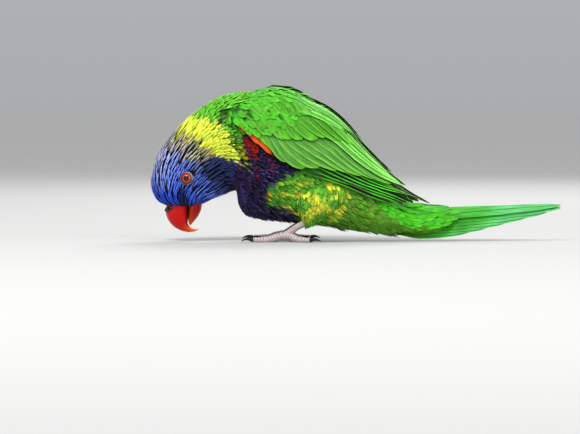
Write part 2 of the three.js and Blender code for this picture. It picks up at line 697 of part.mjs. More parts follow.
const MATERIALS = {
  head: new THREE.MeshStandardMaterial({ color: 0x2b43b4, roughness: 0.75 }),
  neck: new THREE.MeshStandardMaterial({ color: 0xc4dc1e, roughness: 0.8 }),
  torso: new THREE.MeshStandardMaterial({ color: 0xb32415, roughness: 0.8 }),
  wings: new THREE.MeshStandardMaterial({ color: 0x2fae1a, roughness: 0.6 }),
  tail: new THREE.MeshStandardMaterial({ color: 0x3fa524, roughness: 0.6 }),
  thighs: new THREE.MeshStandardMaterial({ color: 0x86b81f, roughness: 0.8 }),
  bill: new THREE.MeshStandardMaterial({ color: 0xd9240f, roughness: 0.35 }),
  eyes: new THREE.MeshStandardMaterial({ color: 0x5a0d0a, roughness: 0.1 }),
  feet: new THREE.MeshStandardMaterial({ color: 0x8d838d, roughness: 0.7 }),
  claws: new THREE.MeshStandardMaterial({ color: 0x2e2a2b, roughness: 0.4 }),
};

// The bird

const bird = new THREE.Group();

function add(name, solid, material) {
  const mesh = solid.getMesh();
  const geometry = new THREE.BufferGeometry();
  geometry.setAttribute('position', new THREE.BufferAttribute(mesh.vertProperties, 3));
  geometry.setIndex(new THREE.BufferAttribute(mesh.triVerts, 1));
  geometry.computeVertexNormals();
  const piece = new THREE.Mesh(geometry, material);
  piece.name = name;
  piece.position.sub(ORIGIN_FROM_FEET);
  bird.add(piece);
}

const beds = wasm.Manifold.union([wingBed(-1), wingBed(1)]);

add('head', head(), MATERIALS.head);
add('upper_bill', upperBill(), MATERIALS.bill);
add('lower_bill', lowerBill(), MATERIALS.bill);
add('neck', largestOf(bodyLength(NECK_FROM, TORSO_FROM)
  .subtract(beds)
  .subtract(partingPlate(NECK_FROM))
  .subtract(partingPlate(TORSO_FROM))), MATERIALS.neck);
add('torso', largestOf(bodyLength(TORSO_FROM, TAIL_FROM)
  .subtract(beds)
  .subtract(partingPlate(TORSO_FROM))
  .subtract(partingPlate(TAIL_FROM))), MATERIALS.torso);

const behindTorso = bodyLength(TORSO_FROM, TAIL_FROM, GAP).add(partingPlate(TAIL_FROM));
add('tail', largestOf(joined([tailRoot(), ...longTailFeathers(), ...tailCoverts()])
  .subtract(behindTorso)
  .subtract(beds)), MATERIALS.tail);

for (const [word, side] of [['left', -1], ['right', 1]]) {
  const legFoot = foot();
  const legThigh = largestOf(thigh().subtract(behindTorso)
    .subtract(wingBed(-1))
    .subtract(tube([
      { at: new THREE.Vector3(ANKLE.x + 1.4, -ANKLE.y, ANKLE.z + 0.9), radius: 3.2 },
      { at: new THREE.Vector3(FOOT.x, -FOOT.y, FOOT.z), radius: 2.6 },
    ], 10)));
  add(`wing_${word}`, wing(side), MATERIALS.wings);
  add(`eye_${word}`, eye(side), MATERIALS.eyes);
  add(`thigh_${word}`, onSide(legThigh, side), MATERIALS.thighs);
  add(`foot_${word}`, onSide(legFoot, side), MATERIALS.feet);
  for (const toe of TOES) {
    add(`claw_${toe.name}_${word}`, onSide(clawSolid(toe), side), MATERIALS.claws);
  }
}

export default bird;
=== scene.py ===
"""A rainbow lorikeet, life size, standing with its head bent down to feed and its wings loosely folded.

Lengths are in millimetres from between the bird's feet, and turn to metres in the frame's own origin only
when a mesh is made. The bird faces -X, its left side is -Y and the floor is Z = 0.
"""

import logging
import math
from dataclasses import dataclass, field
from enum import Enum
from typing import Callable, Sequence

import bpy
import numpy as np
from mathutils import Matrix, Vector

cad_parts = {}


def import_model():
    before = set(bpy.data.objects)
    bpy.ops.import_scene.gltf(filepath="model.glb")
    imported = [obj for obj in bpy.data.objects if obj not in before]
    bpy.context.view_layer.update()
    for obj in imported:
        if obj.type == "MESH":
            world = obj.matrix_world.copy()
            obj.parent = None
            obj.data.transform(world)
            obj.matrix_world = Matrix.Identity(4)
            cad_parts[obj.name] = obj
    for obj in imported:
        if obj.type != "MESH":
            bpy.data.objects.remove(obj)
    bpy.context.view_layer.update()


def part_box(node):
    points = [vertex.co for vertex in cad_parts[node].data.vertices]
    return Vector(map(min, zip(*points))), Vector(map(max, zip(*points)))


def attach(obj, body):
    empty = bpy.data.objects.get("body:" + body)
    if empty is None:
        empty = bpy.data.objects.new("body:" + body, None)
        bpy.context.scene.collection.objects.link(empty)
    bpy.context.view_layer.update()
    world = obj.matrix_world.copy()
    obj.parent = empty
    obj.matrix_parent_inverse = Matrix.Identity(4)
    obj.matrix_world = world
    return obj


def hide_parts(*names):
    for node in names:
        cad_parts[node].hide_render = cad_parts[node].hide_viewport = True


Array = np.ndarray
Spot = tuple[float, float]
Point = tuple[float, float, float]
Socket, Tree, Node = bpy.types.NodeSocket, bpy.types.NodeTree, bpy.types.Node
Material, Piece = bpy.types.Material, bpy.types.Object
log = logging.getLogger("lorikeet")

MM = 0.001
ORIGIN_FROM_FEET = np.array([41.2, 0.0, 0.0])  # the frame's origin, from between the feet
PATCH = 0.003  # how wide a feather lies in its piece's texture layout
LEFT, RIGHT = -1, 1
SIDES = ((LEFT, "left"), (RIGHT, "right"))

# The photograph's frame, for the camera alone.
PHOTO_WIDTH = 580
PHOTO_HEIGHT = 434
PHOTO_MM_PER_PIXEL = 0.62
PHOTO_FLOOR_ROW = 241
PHOTO_FEET_COLUMN = 290

# Body stations from the face to the vent: back point (x, z), belly point (x, z), half width, egg.
BODY = np.array([
    [-75.0, 21.1, -55.8, 21.7, 8.6, 0.0],
    [-82.2, 25.4, -52.1, 23.9, 12.0, 0.0],
    [-85.6, 32.9, -48.4, 26.0, 14.2, 0.0],
    [-85.2, 42.2, -44.0, 27.9, 15.4, 0.05],
    [-82.2, 52.7, -39.7, 29.4, 15.8, 0.1],
    [-75.6, 62.9, -36.0, 31.0, 16.0, 0.1],
    [-67.0, 72.5, -33.5, 31.6, 16.6, 0.08],
    [-56.4, 81.2, -32.5, 30.4, 18.4, 0.04],
    [-44.0, 88.7, -32.2, 27.9, 21.4, 0.0],
    [-29.1, 92.0, -31.6, 22.9, 24.6, -0.04],
    [-13.6, 91.4, -27.3, 16.7, 26.6, -0.06],
    [0.6, 87.3, -17.4, 13.6, 27.4, -0.06],
    [12.6, 81.0, -3.7, 12.1, 27.0, -0.06],
    [23.5, 70.5, 10.5, 10.8, 25.2, -0.06],
    [33.0, 57.0, 24.8, 9.2, 22.0, -0.04],
    [42.5, 43.5, 39.1, 6.9, 18.0, 0.0],
    [54.0, 31.5, 53.9, 4.8, 14.0, 0.0],
])
BODY_END = len(BODY) - 1.0

# Wing outline in its own plane: distance from the bend towards the tip, then heights above the bend-to-tip
# line of the top edge, the lower edge and the widest level, then half the width of both wings together.
WING_BEND = np.array([-36.6, 0.0, 76.3])
WING_TIP = np.array([86.8, 0.0, 21.7])
WING = np.array([
    [-12, 0.5, -0.5, 0.0, 17.5],
    [-4, 5.0, 1.0, 3.0, 21.0],
    [2, 13.0, -2.0, 1.5, 23.4],
    [8, 20.0, -4.7, -0.5, 25.2],
    [15, 25.2, -7.0, -3.0, 26.6],
    [28, 30.4, -10.5, -7.0, 28.0],
    [40, 31.4, -14.5, -9.3, 28.4],
    [52, 31.2, -13.4, -9.7, 27.8],
    [65, 27.6, -8.2, -7.8, 25.8],
    [80, 20.6, -4.5, -5.7, 22.4],
    [95, 13.6, -2.0, -3.3, 18.4],
    [110, 7.4, 0.4, -0.9, 14.4],
    [122, 3.6, 0.4, -0.2, 11.0],
    [138, 1.2, -0.2, -0.4, 7.4],
], float)
RIGHT_WING_LIFT = 2.4  # the right wing's top edge stands this much higher than the left one's
COVER_DEPTH = 6.3  # depth of the feathers over the middle of a wing's top edge
TIP_COVER_DEPTH = 2.4  # and over its tip
HANG = 20.0  # how much lower the surface is for each unit past its lower edge

# Sections of the tail's root: x, z, lean of the section, half height, half width, roll in degrees.
TAIL_ROLL = 45.0
TAIL_ROOT = np.array([
    [53.4, 18.6, 0.02, 13.6, 14.2, 0],
    [60, 17.6, 0, 11.4, 13.2, 12],
    [68, 15.6, 0, 8.4, 12.4, 28],
    [78, 14.2, 0, 5.2, 11.6, 41],
    [90, 14.0, 0, 2.8, 9.4, TAIL_ROLL],
    [100, 14.6, 0, 1.6, 7.0, TAIL_ROLL],
], float)

# Thigh sections for the left leg: level along the leg, then x, y, z, half length, half width.
THIGH = np.array([
    [0, 22.0, 13.0, 41.0, 9.0, 4.0],
    [1, 20.5, 16.6, 34.0, 14.6, 8.6],
    [2, 18.5, 18.4, 26.0, 15.4, 9.8],
    [3, 15.5, 18.4, 18.0, 10.4, 7.6],
    [4, 12.6, 17.7, 12.0, 4.6, 4.0],
], float)


def smooth(x: Array | float, start: float, end: float) -> Array:
    """A soft step from 0 at start to 1 at end."""
    u = np.clip((np.asarray(x, float) - start) / (end - start), 0, 1)
    return u * u * (3 - 2 * u)


def between(x: Array | float, rise: Spot, fall: Spot) -> Array:
    """A soft step up followed by a soft step down."""
    return smooth(x, *rise) * (1 - smooth(x, *fall))


def spot(x: Array, z: Array, centre: Spot, size: Spot) -> Array:
    """A soft round spot on the bird's side, 1 at its centre."""
    return np.exp(-((x - centre[0]) / size[0]) ** 2 - ((z - centre[1]) / size[1]) ** 2)


def unit(vectors: Array) -> Array:
    """Vectors brought to length 1."""
    return vectors / np.maximum(np.linalg.norm(vectors, axis=-1, keepdims=True), 1e-9)


def mixed(first: Array, second: Array, share: Array) -> Array:
    """Colours between two sets, by a share for each colour."""
    return first + (second - first) * np.asarray(share)[..., None]


def rows_at(table: Array, x: Array) -> Array:
    """Rows of a table at the values x of its first column, by cubic curves through its rows.

    Args:
        table: Rows whose first column rises.
        x: Values of the first column, of any shape.

    Returns:
        The rows, with the table's columns as the last axis.
    """
    x = np.asarray(x, float)
    knots = table[:, 0]
    slopes = np.empty_like(table)
    slopes[1:-1] = (table[2:] - table[:-2]) / (knots[2:] - knots[:-2])[:, None]
    slopes[0] = (table[1] - table[0]) / (knots[1] - knots[0])
    slopes[-1] = (table[-1] - table[-2]) / (knots[-1] - knots[-2])
    i = np.clip(np.searchsorted(knots, x, side="right") - 1, 0, len(knots) - 2)
    span = (knots[i + 1] - knots[i])[..., None]
    raw = (x - knots[i])[..., None] / span
    u = np.clip(raw, 0, 1)
    start, end = table[i], table[i + 1]
    a, b = slopes[i] * span, slopes[i + 1] * span
    inside = start * (1 + 2 * u) * (1 - u) ** 2 + a * u * (1 - u) ** 2
    inside = inside + end * u * u * (3 - 2 * u) + b * u * u * (u - 1)
    return inside + np.where(raw < 0, a * raw, 0) + np.where(raw > 1, b * (raw - 1), 0)


def crossed(rows: Array, columns: Array) -> tuple[Array, Array]:
    """Two coordinates over a grid: the first changes from row to row, the second along each row."""
    return tuple(np.meshgrid(rows, columns, indexing="ij"))


def once_round(sides: int, start: float = 0.0) -> Array:
    """Even turns round a closed ring, in radians."""
    return np.linspace(start, start + math.tau, sides, endpoint=False)


def laid_out(across: Array, along: Array, corner: Spot = (0.1, 0.1), size: Spot = (0.8, 0.8)) -> Array:
    """Places in a strip of a texture layout, from shares of its width and height."""
    across, along = np.broadcast_arrays(across, along)
    return np.stack([corner[0] + size[0] * across, corner[1] + size[1] * along], -1)


def linear(hex_colour: str) -> Array:
    """An sRGB hex colour as linear red, green and blue."""
    srgb = np.array([int(hex_colour[i:i + 2], 16) / 255 for i in (1, 3, 5)])
    return np.where(srgb <= 0.04045, srgb / 12.92, ((srgb + 0.055) / 1.055) ** 2.4)


class Tint(Enum):
    """The paints of the bird, as sRGB hex."""

    FACE_BLUE = "#2258fa"
    CROWN_VIOLET = "#8ea2ff"
    CROWN_PALE = "#d6daff"
    CHEEK_BLUE = "#6480ff"
    HEAD_BLACK = "#070810"
    HEAD_NAVY = "#050a22"
    NAPE_BROWN = "#1e160c"
    NAPE_PALE = "#c8c694"
    COLLAR = "#d6ea1c"
    COLLAR_PALE = "#eef66a"
    COLLAR_DEEP = "#7c8810"
    COLLAR_ORANGE = "#e07a14"
    MANTLE = "#40b810"
    MANTLE_PALE = "#78d23c"
    MANTLE_DARK = "#1c5a0c"
    # painted shade: the grey-brown of the shadows among the mantle feathers and at the wing's bend
    MANTLE_PAINTED_SHADE = "#45483a"
    ARM_GREEN = "#4cc026"
    WING_GREEN = "#62c82c"
    WING_PALE = "#84dc48"
    WING_DEEP = "#1f6410"
    COVERT_INNER = "#4a9c22"
    SECONDARY = "#5caa2a"
    SECONDARY_GREY = "#54943a"
    # painted light: the tertials' and scapulars' own green painted brighter where the wing's top catches the
    # light, and painted highlights along their edges and shafts
    TERTIAL_LIT_GREEN = "#8cf856"
    TERTIAL_HIGHLIGHT = "#ccffaa"
    PRIMARY = "#0a1208"
    PRIMARY_EDGE = "#58ee2c"
    PRIMARY_SHAFT = "#a8806c"
    UNDERSIDE = "#86783c"
    UNDERWING = "#f0481a"
    UNDERWING_PALE = "#ffa83a"
    BREAST_RED = "#98140a"
    BREAST_BAR = "#100c20"
    BELLY = "#241a44"
    BELLY_SHEEN = "#54428c"
    BELLY_BLACK = "#0e0a14"
    FLANK_GREEN = "#5cb22c"
    FLANK_DARK = "#24560f"
    FLANK_YELLOW = "#e2e63c"
    FLANK_ORANGE = "#f0a020"
    VENT_GREEN = "#559c1e"
    VENT_OLIVE = "#6a9a2c"
    TAIL_GREEN = "#3fae30"
    TAIL_TIP = "#62cc72"
    SHAFT_DARK = "#24340f"
    BILL_RED = "#cc0806"
    BILL_ORANGE = "#f8740c"
    BILL_GAPE = "#4a1408"
    CERE = "#24221a"
    CERE_PALE = "#57523a"
    IRIS_RED = "#e02810"
    IRIS_DARK = "#7a1006"
    PUPIL = "#040303"
    LID_GREY = "#4a4950"
    LID_PALE = "#b4b2bc"
    FOOT_PALE = "#d6c8c6"
    FOOT_GROOVE = "#887a7e"
    CLAW = "#2a2422"

    @property
    def rgb(self) -> Array:
        """The paint as linear red, green and blue."""
        return linear(self.value)


class Surface:
    """A surface that feathers grow on, with one coordinate along the bird and one around it."""

    facing = 1.0

    def point(self, along: Array, around: Array, out: Array | float = 0.0) -> Array:
        """Points of the surface, moved out from it.

        Args:
            along: First coordinate, which grows towards the tail.
            around: Second coordinate.
            out: Millimetres out of the surface.

        Returns:
            Points in millimetres, with x, y and z last.
        """
        raise NotImplementedError

    def slopes(self, along: Array, around: Array) -> tuple[Array, Array]:
        """How a point moves with each of the two coordinates.

        Args:
            along: First coordinate.
            around: Second coordinate.

        Returns:
            Millimetres for each unit of the first coordinate, and for each unit of the second.
        """
        step = 1e-3
        first = self.point(along + step, around) - self.point(along - step, around)
        second = self.point(along, around + step) - self.point(along, around - step)
        return first / (2 * step), second / (2 * step)

    def normal(self, along: Array, around: Array) -> Array:
        """Unit vectors that point out of the surface."""
        first, second = self.slopes(along, around)
        return unit(np.cross(first, second)) * self.facing

    def layout(self, along: Array, around: Array) -> Array:
        """Where a root lies on the unwrap of the surface's own shape, from 0 to 1 each way."""
        raise NotImplementedError


class BodyForm(Surface):
    """Head, neck and torso: along is the station number, around is the turn from the back in radians."""

    def __init__(self) -> None:
        """Numbers the stations."""
        self.table = np.column_stack([np.arange(len(BODY)), BODY])

    def point(self, along: Array, around: Array, out: Array | float = 0.0) -> Array:
        """Points of the body, as in Surface; around is 0 on the back and positive on the bird's right."""
        _, back_x, back_z, belly_x, belly_z, half, egg = np.moveaxis(rows_at(self.table, along), -1, 0)
        up = np.stack([back_x - belly_x, np.zeros_like(half), back_z - belly_z], -1)
        reach = np.linalg.norm(up, axis=-1) / 2
        centre = np.stack([(back_x + belly_x) / 2, np.zeros_like(half), (back_z + belly_z) / 2], -1)
        cosine, sine = np.cos(around), np.sin(around)
        point = centre + unit(up) * ((reach + out) * cosine)[..., None]
        point[..., 1] = (half + out) * sine * (1 + egg * cosine)
        return point

    def layout(self, along: Array, around: Array) -> Array:
        """The body cut along its belly and laid flat."""
        turn = (np.asarray(around) + math.pi) % math.tau
        return laid_out(turn / math.tau, along / BODY_END, (0.03, 0.03), (0.94, 0.94))


class WingForm(Surface):
    """A folded wing: along is millimetres from the bend, around runs from the top edge (0) to the lower."""

    def __init__(self, side: int) -> None:
        """Sets the side.

        Args:
            side: LEFT or RIGHT.
        """
        self.side = side
        self.facing = 1.0 if side == RIGHT else -1.0
        self.lift = RIGHT_WING_LIFT if side == RIGHT else 0.0
        self.axis = unit(WING_TIP - WING_BEND)
        self.up = np.array([-self.axis[2], 0.0, self.axis[0]])

    def inner(self, along: Array, around: Array) -> Array:
        """Points where the wing lies on the body.

        Args:
            along: Millimetres from the bend.
            around: Share down the wing.

        Returns:
            The points.
        """
        along, around = np.broadcast_arrays(np.asarray(along, float), np.asarray(around, float))
        _, outline, low, widest, half = np.moveaxis(rows_at(WING, along), -1, 0)
        cover = COVER_DEPTH * smooth(along, 8, 44) - (COVER_DEPTH - TIP_COVER_DEPTH) * smooth(along, 76, 122)
        height = np.maximum(outline - cover - widest, 0.8)
        lowest = np.arccos(np.clip((low - widest) / height, -0.6, 0.9))
        highest = np.arcsin(1.4 / half)
        on_wing = np.minimum(around, 1)
        turn = highest + (lowest - highest) * on_wing
        raised = self.lift * (1 - on_wing) * smooth(along, 5, 34) - HANG * (around - on_wing)
        rise = widest + height * np.cos(turn) + raised
        point = WING_BEND + self.axis * along[..., None] + self.up * rise[..., None]
        point[..., 1] = self.side * half * np.sin(turn)
        return point

    def point(self, along: Array, around: Array, out: Array | float = 0.0) -> Array:
        """Points of the wing, as in Surface; out starts where the wing lies on the body."""
        base = self.inner(along, around)
        if np.ndim(out) == 0 and out == 0.0:
            return base
        return base + self.normal(along, around) * np.asarray(out)[..., None]

    def layout(self, along: Array, around: Array) -> Array:
        """The wing laid flat."""
        return laid_out((along + 8) / 150, (around + 0.2) / 1.4, (0.06, 0.1), (0.88, 0.8))


class TailForm(Surface):
    """The tail's root: along is x, around is the turn from its top, positive to the bird's right."""

    def point(self, along: Array, around: Array, out: Array | float = 0.0) -> Array:
        """Points of the tail's root, as in Surface."""
        along, around = np.broadcast_arrays(np.asarray(along, float), np.asarray(around, float))
        _, z, lean, high, wide, roll = np.moveaxis(rows_at(TAIL_ROOT, along), -1, 0)
        roll = np.radians(roll)
        up = unit(np.stack([lean, -np.sin(roll), np.cos(roll)], -1))
        right = np.stack([np.zeros_like(roll), np.cos(roll), np.sin(roll)], -1)
        centre = np.stack([along, np.zeros_like(z), z], -1)
        high = (np.maximum(high, 0.6) + out) * np.cos(around)
        wide = (np.maximum(wide, 2.0) + out) * np.sin(around)
        return centre + up * high[..., None] + right * wide[..., None]

    def layout(self, along: Array, around: Array) -> Array:
        """The root cut along its underside and laid flat."""
        turn = (np.asarray(around) + math.pi) % math.tau
        return laid_out(turn / math.tau, (along - 45) / 60, (0.05, 0.05), (0.9, 0.5))


class ThighForm(Surface):
    """A feathered thigh: along is the level down the leg, around is the turn in radians."""

    def __init__(self, side: int) -> None:
        """Sets the side, LEFT or RIGHT."""
        self.side = side
        self.facing = -1.0 if side == RIGHT else 1.0

    def point(self, along: Array, around: Array, out: Array | float = 0.0) -> Array:
        """Points of the thigh, as in Surface."""
        along, around = np.broadcast_arrays(np.asarray(along, float), np.asarray(around, float))
        _, x, y, z, long, wide = np.moveaxis(rows_at(THIGH, along), -1, 0)
        px = x + (long + out) * np.cos(around)
        py = self.side * (y + (wide + out) * np.sin(around))
        return np.stack([px, py, z], -1)

    def layout(self, along: Array, around: Array) -> Array:
        """The thigh laid flat, in the corner that its side has."""
        corner = 0.02 if self.side == LEFT else 0.52
        return laid_out(np.asarray(around) % math.tau / math.tau, along / 4, (corner, 0.05), (0.44, 0.9))


def blotches(points: Array, size: Point, seed: int) -> Array:
    """Soft random blotches in space.

    Args:
        points: Places in millimetres.
        size: A blotch's usual length along x, y and z.
        seed: Seed of the pattern.

    Returns:
        Values from 0 to 1.
    """
    random = np.random.default_rng(seed)
    total = np.zeros(points.shape[:-1])
    for _ in range(7):
        wave = unit(random.normal(size=3)) * math.pi * random.uniform(0.7, 1.4) / np.array(size)
        total += np.sin(points @ wave + random.uniform(0, math.tau))
    return np.clip(0.5 + total / 5, 0, 1)


@dataclass
class Paint:
    """The colours of a set of feathers, one row for each feather."""

    web: Array
    tip: Array
    rim: Array
    root: Array
    streak: Array  # the shaft's own colour
    streaks: Array  # how strongly the shaft shows
    bars: Array  # how dark the bar before the tip is
    rims: float = 0.0
    rim_from: float = 0.7
    tip_from: float = 0.6
    inner: Array | None = None  # the half of the vane that faces up

    @classmethod
    def plain(cls, count: int, web: Tint, tip: Tint | None = None, rim: Tint | None = None,
              root: Tint | None = None, streak: Tint | None = None, streaks: float = 0.0,
              inner: Tint | None = None, **more: float) -> "Paint":
        """A paint that is the same for every feather of a set.

        Args:
            count: How many feathers.
            web: The vane.
            tip: The tip, or None for the vane's colour, as for those that follow.
            rim: The edge.
            root: The hidden base, darker partly in its own colour and partly as painted shade under the
                feathers that overlap it.
            streak: The shaft.
            streaks: How strongly the shaft shows.
            inner: The half of the vane that faces up.
            **more: Other fields of the paint.

        Returns:
            The paint.
        """
        def rows(tint: Tint | None) -> Array:
            """The same paint for each feather."""
            return np.repeat((tint or web).rgb[None], count, 0)

        return cls(rows(web), rows(tip), rows(rim), rows(root), rows(streak), np.full(count, streaks),
                   np.zeros(count), inner=rows(inner) if inner else None, **more)

    def cover(self, mask: Array, web: Tint, tip: Tint | None = None, root: Tint | None = None,
              streak: Tint | None = None, streaks: float = 0.0, bars: float = 0.0) -> None:
        """Paints over the feathers.

        Args:
            mask: How much of the new paint each feather takes.
            web: The vane.
            tip: The tip, or None for the vane's colour, as for those that follow.
            root: The hidden base, darker partly in its own colour and partly as painted shade under the
                feathers that overlap it.
            streak: The shaft.
            streaks: How strongly the shaft shows.
            bars: How dark the bar before the tip is.
        """
        self.web = mixed(self.web, web.rgb, mask)
        self.tip = mixed(self.tip, (tip or web).rgb, mask)
        self.root = mixed(self.root, (root or web).rgb, mask)
        self.streak = mixed(self.streak, (streak or web).rgb, mask)
        self.streaks = self.streaks + (streaks - self.streaks) * mask
        self.bars = self.bars + (bars - self.bars) * mask
        self.rim = self.web

    def at(self, u: Array, upper: Array, v: Array) -> Array:
        """Colours over each feather.

        Args:
            u: Places across the vane, from -1 to 1.
            upper: Whether each place is on the upper face.
            v: Places along the vane, from 0 at the root to 1 at the tip.

        Returns:
            Colours of shape (feathers, len(v), len(u), 3).
        """
        ones = np.ones((len(self.web), len(v), len(u)))
        u, v = u[None, None] * ones, v[None, :, None] * ones
        bars = self.bars[:, None, None] * ones

        def spread(rgb: Array) -> Array:
            """Each feather's paint over its whole blade."""
            return rgb[:, None, None]

        colour = spread(self.web) * ones[..., None]
        if self.inner is not None:
            colour = mixed(colour, spread(self.inner), smooth(-u, 0.0, 0.3))
        colour = mixed(colour, spread(self.tip), smooth(v, self.tip_from, self.tip_from + 0.2))
        colour = mixed(colour, spread(self.rim), self.rims * smooth(np.abs(u), self.rim_from, 1.0))
        colour = mixed(colour, Tint.BREAST_BAR.rgb, bars * smooth(v, 0.84, 0.93))
        # Darker roots: partly the feathers' own colour, partly painted shade where the next feathers overlap
        # them.
        colour = mixed(colour, spread(self.root), 1 - smooth(v, 0.05, 0.42))
        if self.inner is not None:
            colour = mixed(colour, Tint.UNDERSIDE.rgb, 0.8 * (1 - upper[None, None] * ones))
        return colour


@dataclass
class Tubes:
    """Closed tubes of sections with their colours, alike in size: arrays of (tubes, rings, ring, ...)."""

    points: Array
    colours: Array
    layout: Array
    vane: Array
    streak: Array

    @classmethod
    def single(cls, points: Array, colours: Array, layout: Array, vane: Array | None = None) -> "Tubes":
        """One tube without feather shafts.

        Args:
            points: Its points, (rings, ring, 3).
            colours: Their colours.
            layout: Their places on the unwrap.
            vane: Millimetres across and along, or None.

        Returns:
            The tube.
        """
        vane = layout * 20 if vane is None else vane
        colours = np.broadcast_to(colours, points.shape)
        streak = np.zeros((1,) + points.shape[:2] + (4,))
        return cls(points[None], colours[None], layout[None], vane[None], streak)


@dataclass
class Feathers:
    """A set of feathers, each a closed blade with a raised shaft, along its own bent centre line."""

    centre: Array  # (feathers, rings, 3), millimetres
    normal: Array  # (feathers, rings, 3)
    half: Array  # (feathers,) half the greatest width
    paint: Paint
    layout: Array  # (feathers, 2) the root's place on the unwrap
    columns: int = 1  # spans on each side of the shaft
    thickness: float = 0.22
    camber: float = 0.12  # how far the edges bend down, as a share of the half width
    roll: Array | float = 0.0
    point: float = 0.55  # where along the blade the tip starts to narrow
    tip_width: float = 0.12
    root_width: float = 0.5
    ragged: float = 0.0  # how uneven the edges are
    shade: float = 0.12  # how much one feather differs from the next
    seed: int = 1

    def outline(self, v: Array) -> Array:
        """Half the blade's width along it.

        Args:
            v: Places along the vane, from 0 at the root to 1 at the tip.

        Returns:
            Shares of its greatest half width.
        """
        root = self.root_width + (1 - self.root_width) * smooth(v, 0, 0.3)
        fall = np.clip((v - self.point) / (1.0001 - self.point), 0, 1)
        return root * np.maximum(np.sqrt(1 - fall ** 2), self.tip_width)

    def tubes(self) -> Tubes:
        """Builds the blades.

        Returns:
            One closed tube for each feather.
        """
        count, rings, _ = self.centre.shape
        random = np.random.default_rng(self.seed)
        u = np.linspace(-1, 1, 2 * self.columns + 1)
        u, upper = np.concatenate([u, u[-2:0:-1]]), np.concatenate([np.ones(len(u)), np.zeros(len(u) - 2)])
        v = np.linspace(0, 1, rings)
        step = np.gradient(self.centre, axis=1)
        along = unit(step)
        side = unit(np.cross(self.normal, along))
        out = np.cross(along, side)
        roll = np.broadcast_to(np.asarray(self.roll, float), (count,))[:, None] * smooth(v, 0, 0.35)[None]
        cosine, sine = np.cos(roll)[..., None], np.sin(roll)[..., None]
        side, out = side * cosine - out * sine, out * cosine + side * sine
        half = self.half[:, None] * self.outline(v)[None]
        uneven = 1 + self.ragged * random.normal(size=(count, rings, len(u))) * np.abs(u)
        across = (u[None, None] * uneven)[..., None] * half[..., None, None] * side[:, :, None]
        arch = self.camber * half[..., None] * (1 - u ** 2)[None, None]
        ridge = 0.4 * self.thickness * (np.abs(u) < 0.01) * upper
        body = self.thickness * (1 - np.abs(u)) * (upper - 0.6)
        height = (arch + (ridge + body)[None, None] * (1 - 0.7 * smooth(v, 0.7, 1))[None, :, None])[..., None]
        points = self.centre[:, :, None] + across + height * out[:, :, None]
        own = random.normal(size=(count, 1, 1, 1)) + 0.4 * random.normal(size=(count, 1, 1, 3))
        change = 1 + self.shade * own
        shape = (count, rings, len(u))
        layout, vane = np.empty(shape + (2,)), np.empty(shape + (2,))
        layout[..., 0] = self.layout[:, None, None, 0] + 0.5 * PATCH * u[None, None]
        layout[..., 1] = self.layout[:, None, None, 1] + PATCH * (v[None, :, None] - 0.5)
        vane[..., 0] = u[None, None] * half[..., None]
        vane[..., 1] = np.cumsum(np.linalg.norm(step, axis=-1), 1)[..., None]
        streak = np.empty(shape + (4,))
        streak[..., :3] = self.paint.streak[:, None, None] * change
        shown = between(v, (0.05, 0.4), (0.93, 1.0))
        streak[..., 3] = self.paint.streaks[:, None, None] * upper * shown[None, :, None]
        colours = np.clip(self.paint.at(u, upper, v) * change, 0, 1)
        return Tubes(points, colours, layout, vane, np.clip(streak, 0, 1))


# The build of body and thigh feathers, and of the long ones of the mantle
SOFT_FEATHER = {"camber": 0.16, "thickness": 0.2, "point": 0.3, "ragged": 0.08, "shade": 0.15}
MANTLE_FEATHER = {"camber": 0.14, "thickness": 0.22, "point": 0.35, "ragged": 0.06, "shade": 0.15}


def stand(name: str, data: bpy.types.ID) -> Piece:
    """A new object in the scene.

    Args:
        name: Its name.
        data: Its mesh, lamp or camera.

    Returns:
        The object.
    """
    piece = bpy.data.objects.new(name, data)
    bpy.context.scene.collection.objects.link(piece)
    return piece


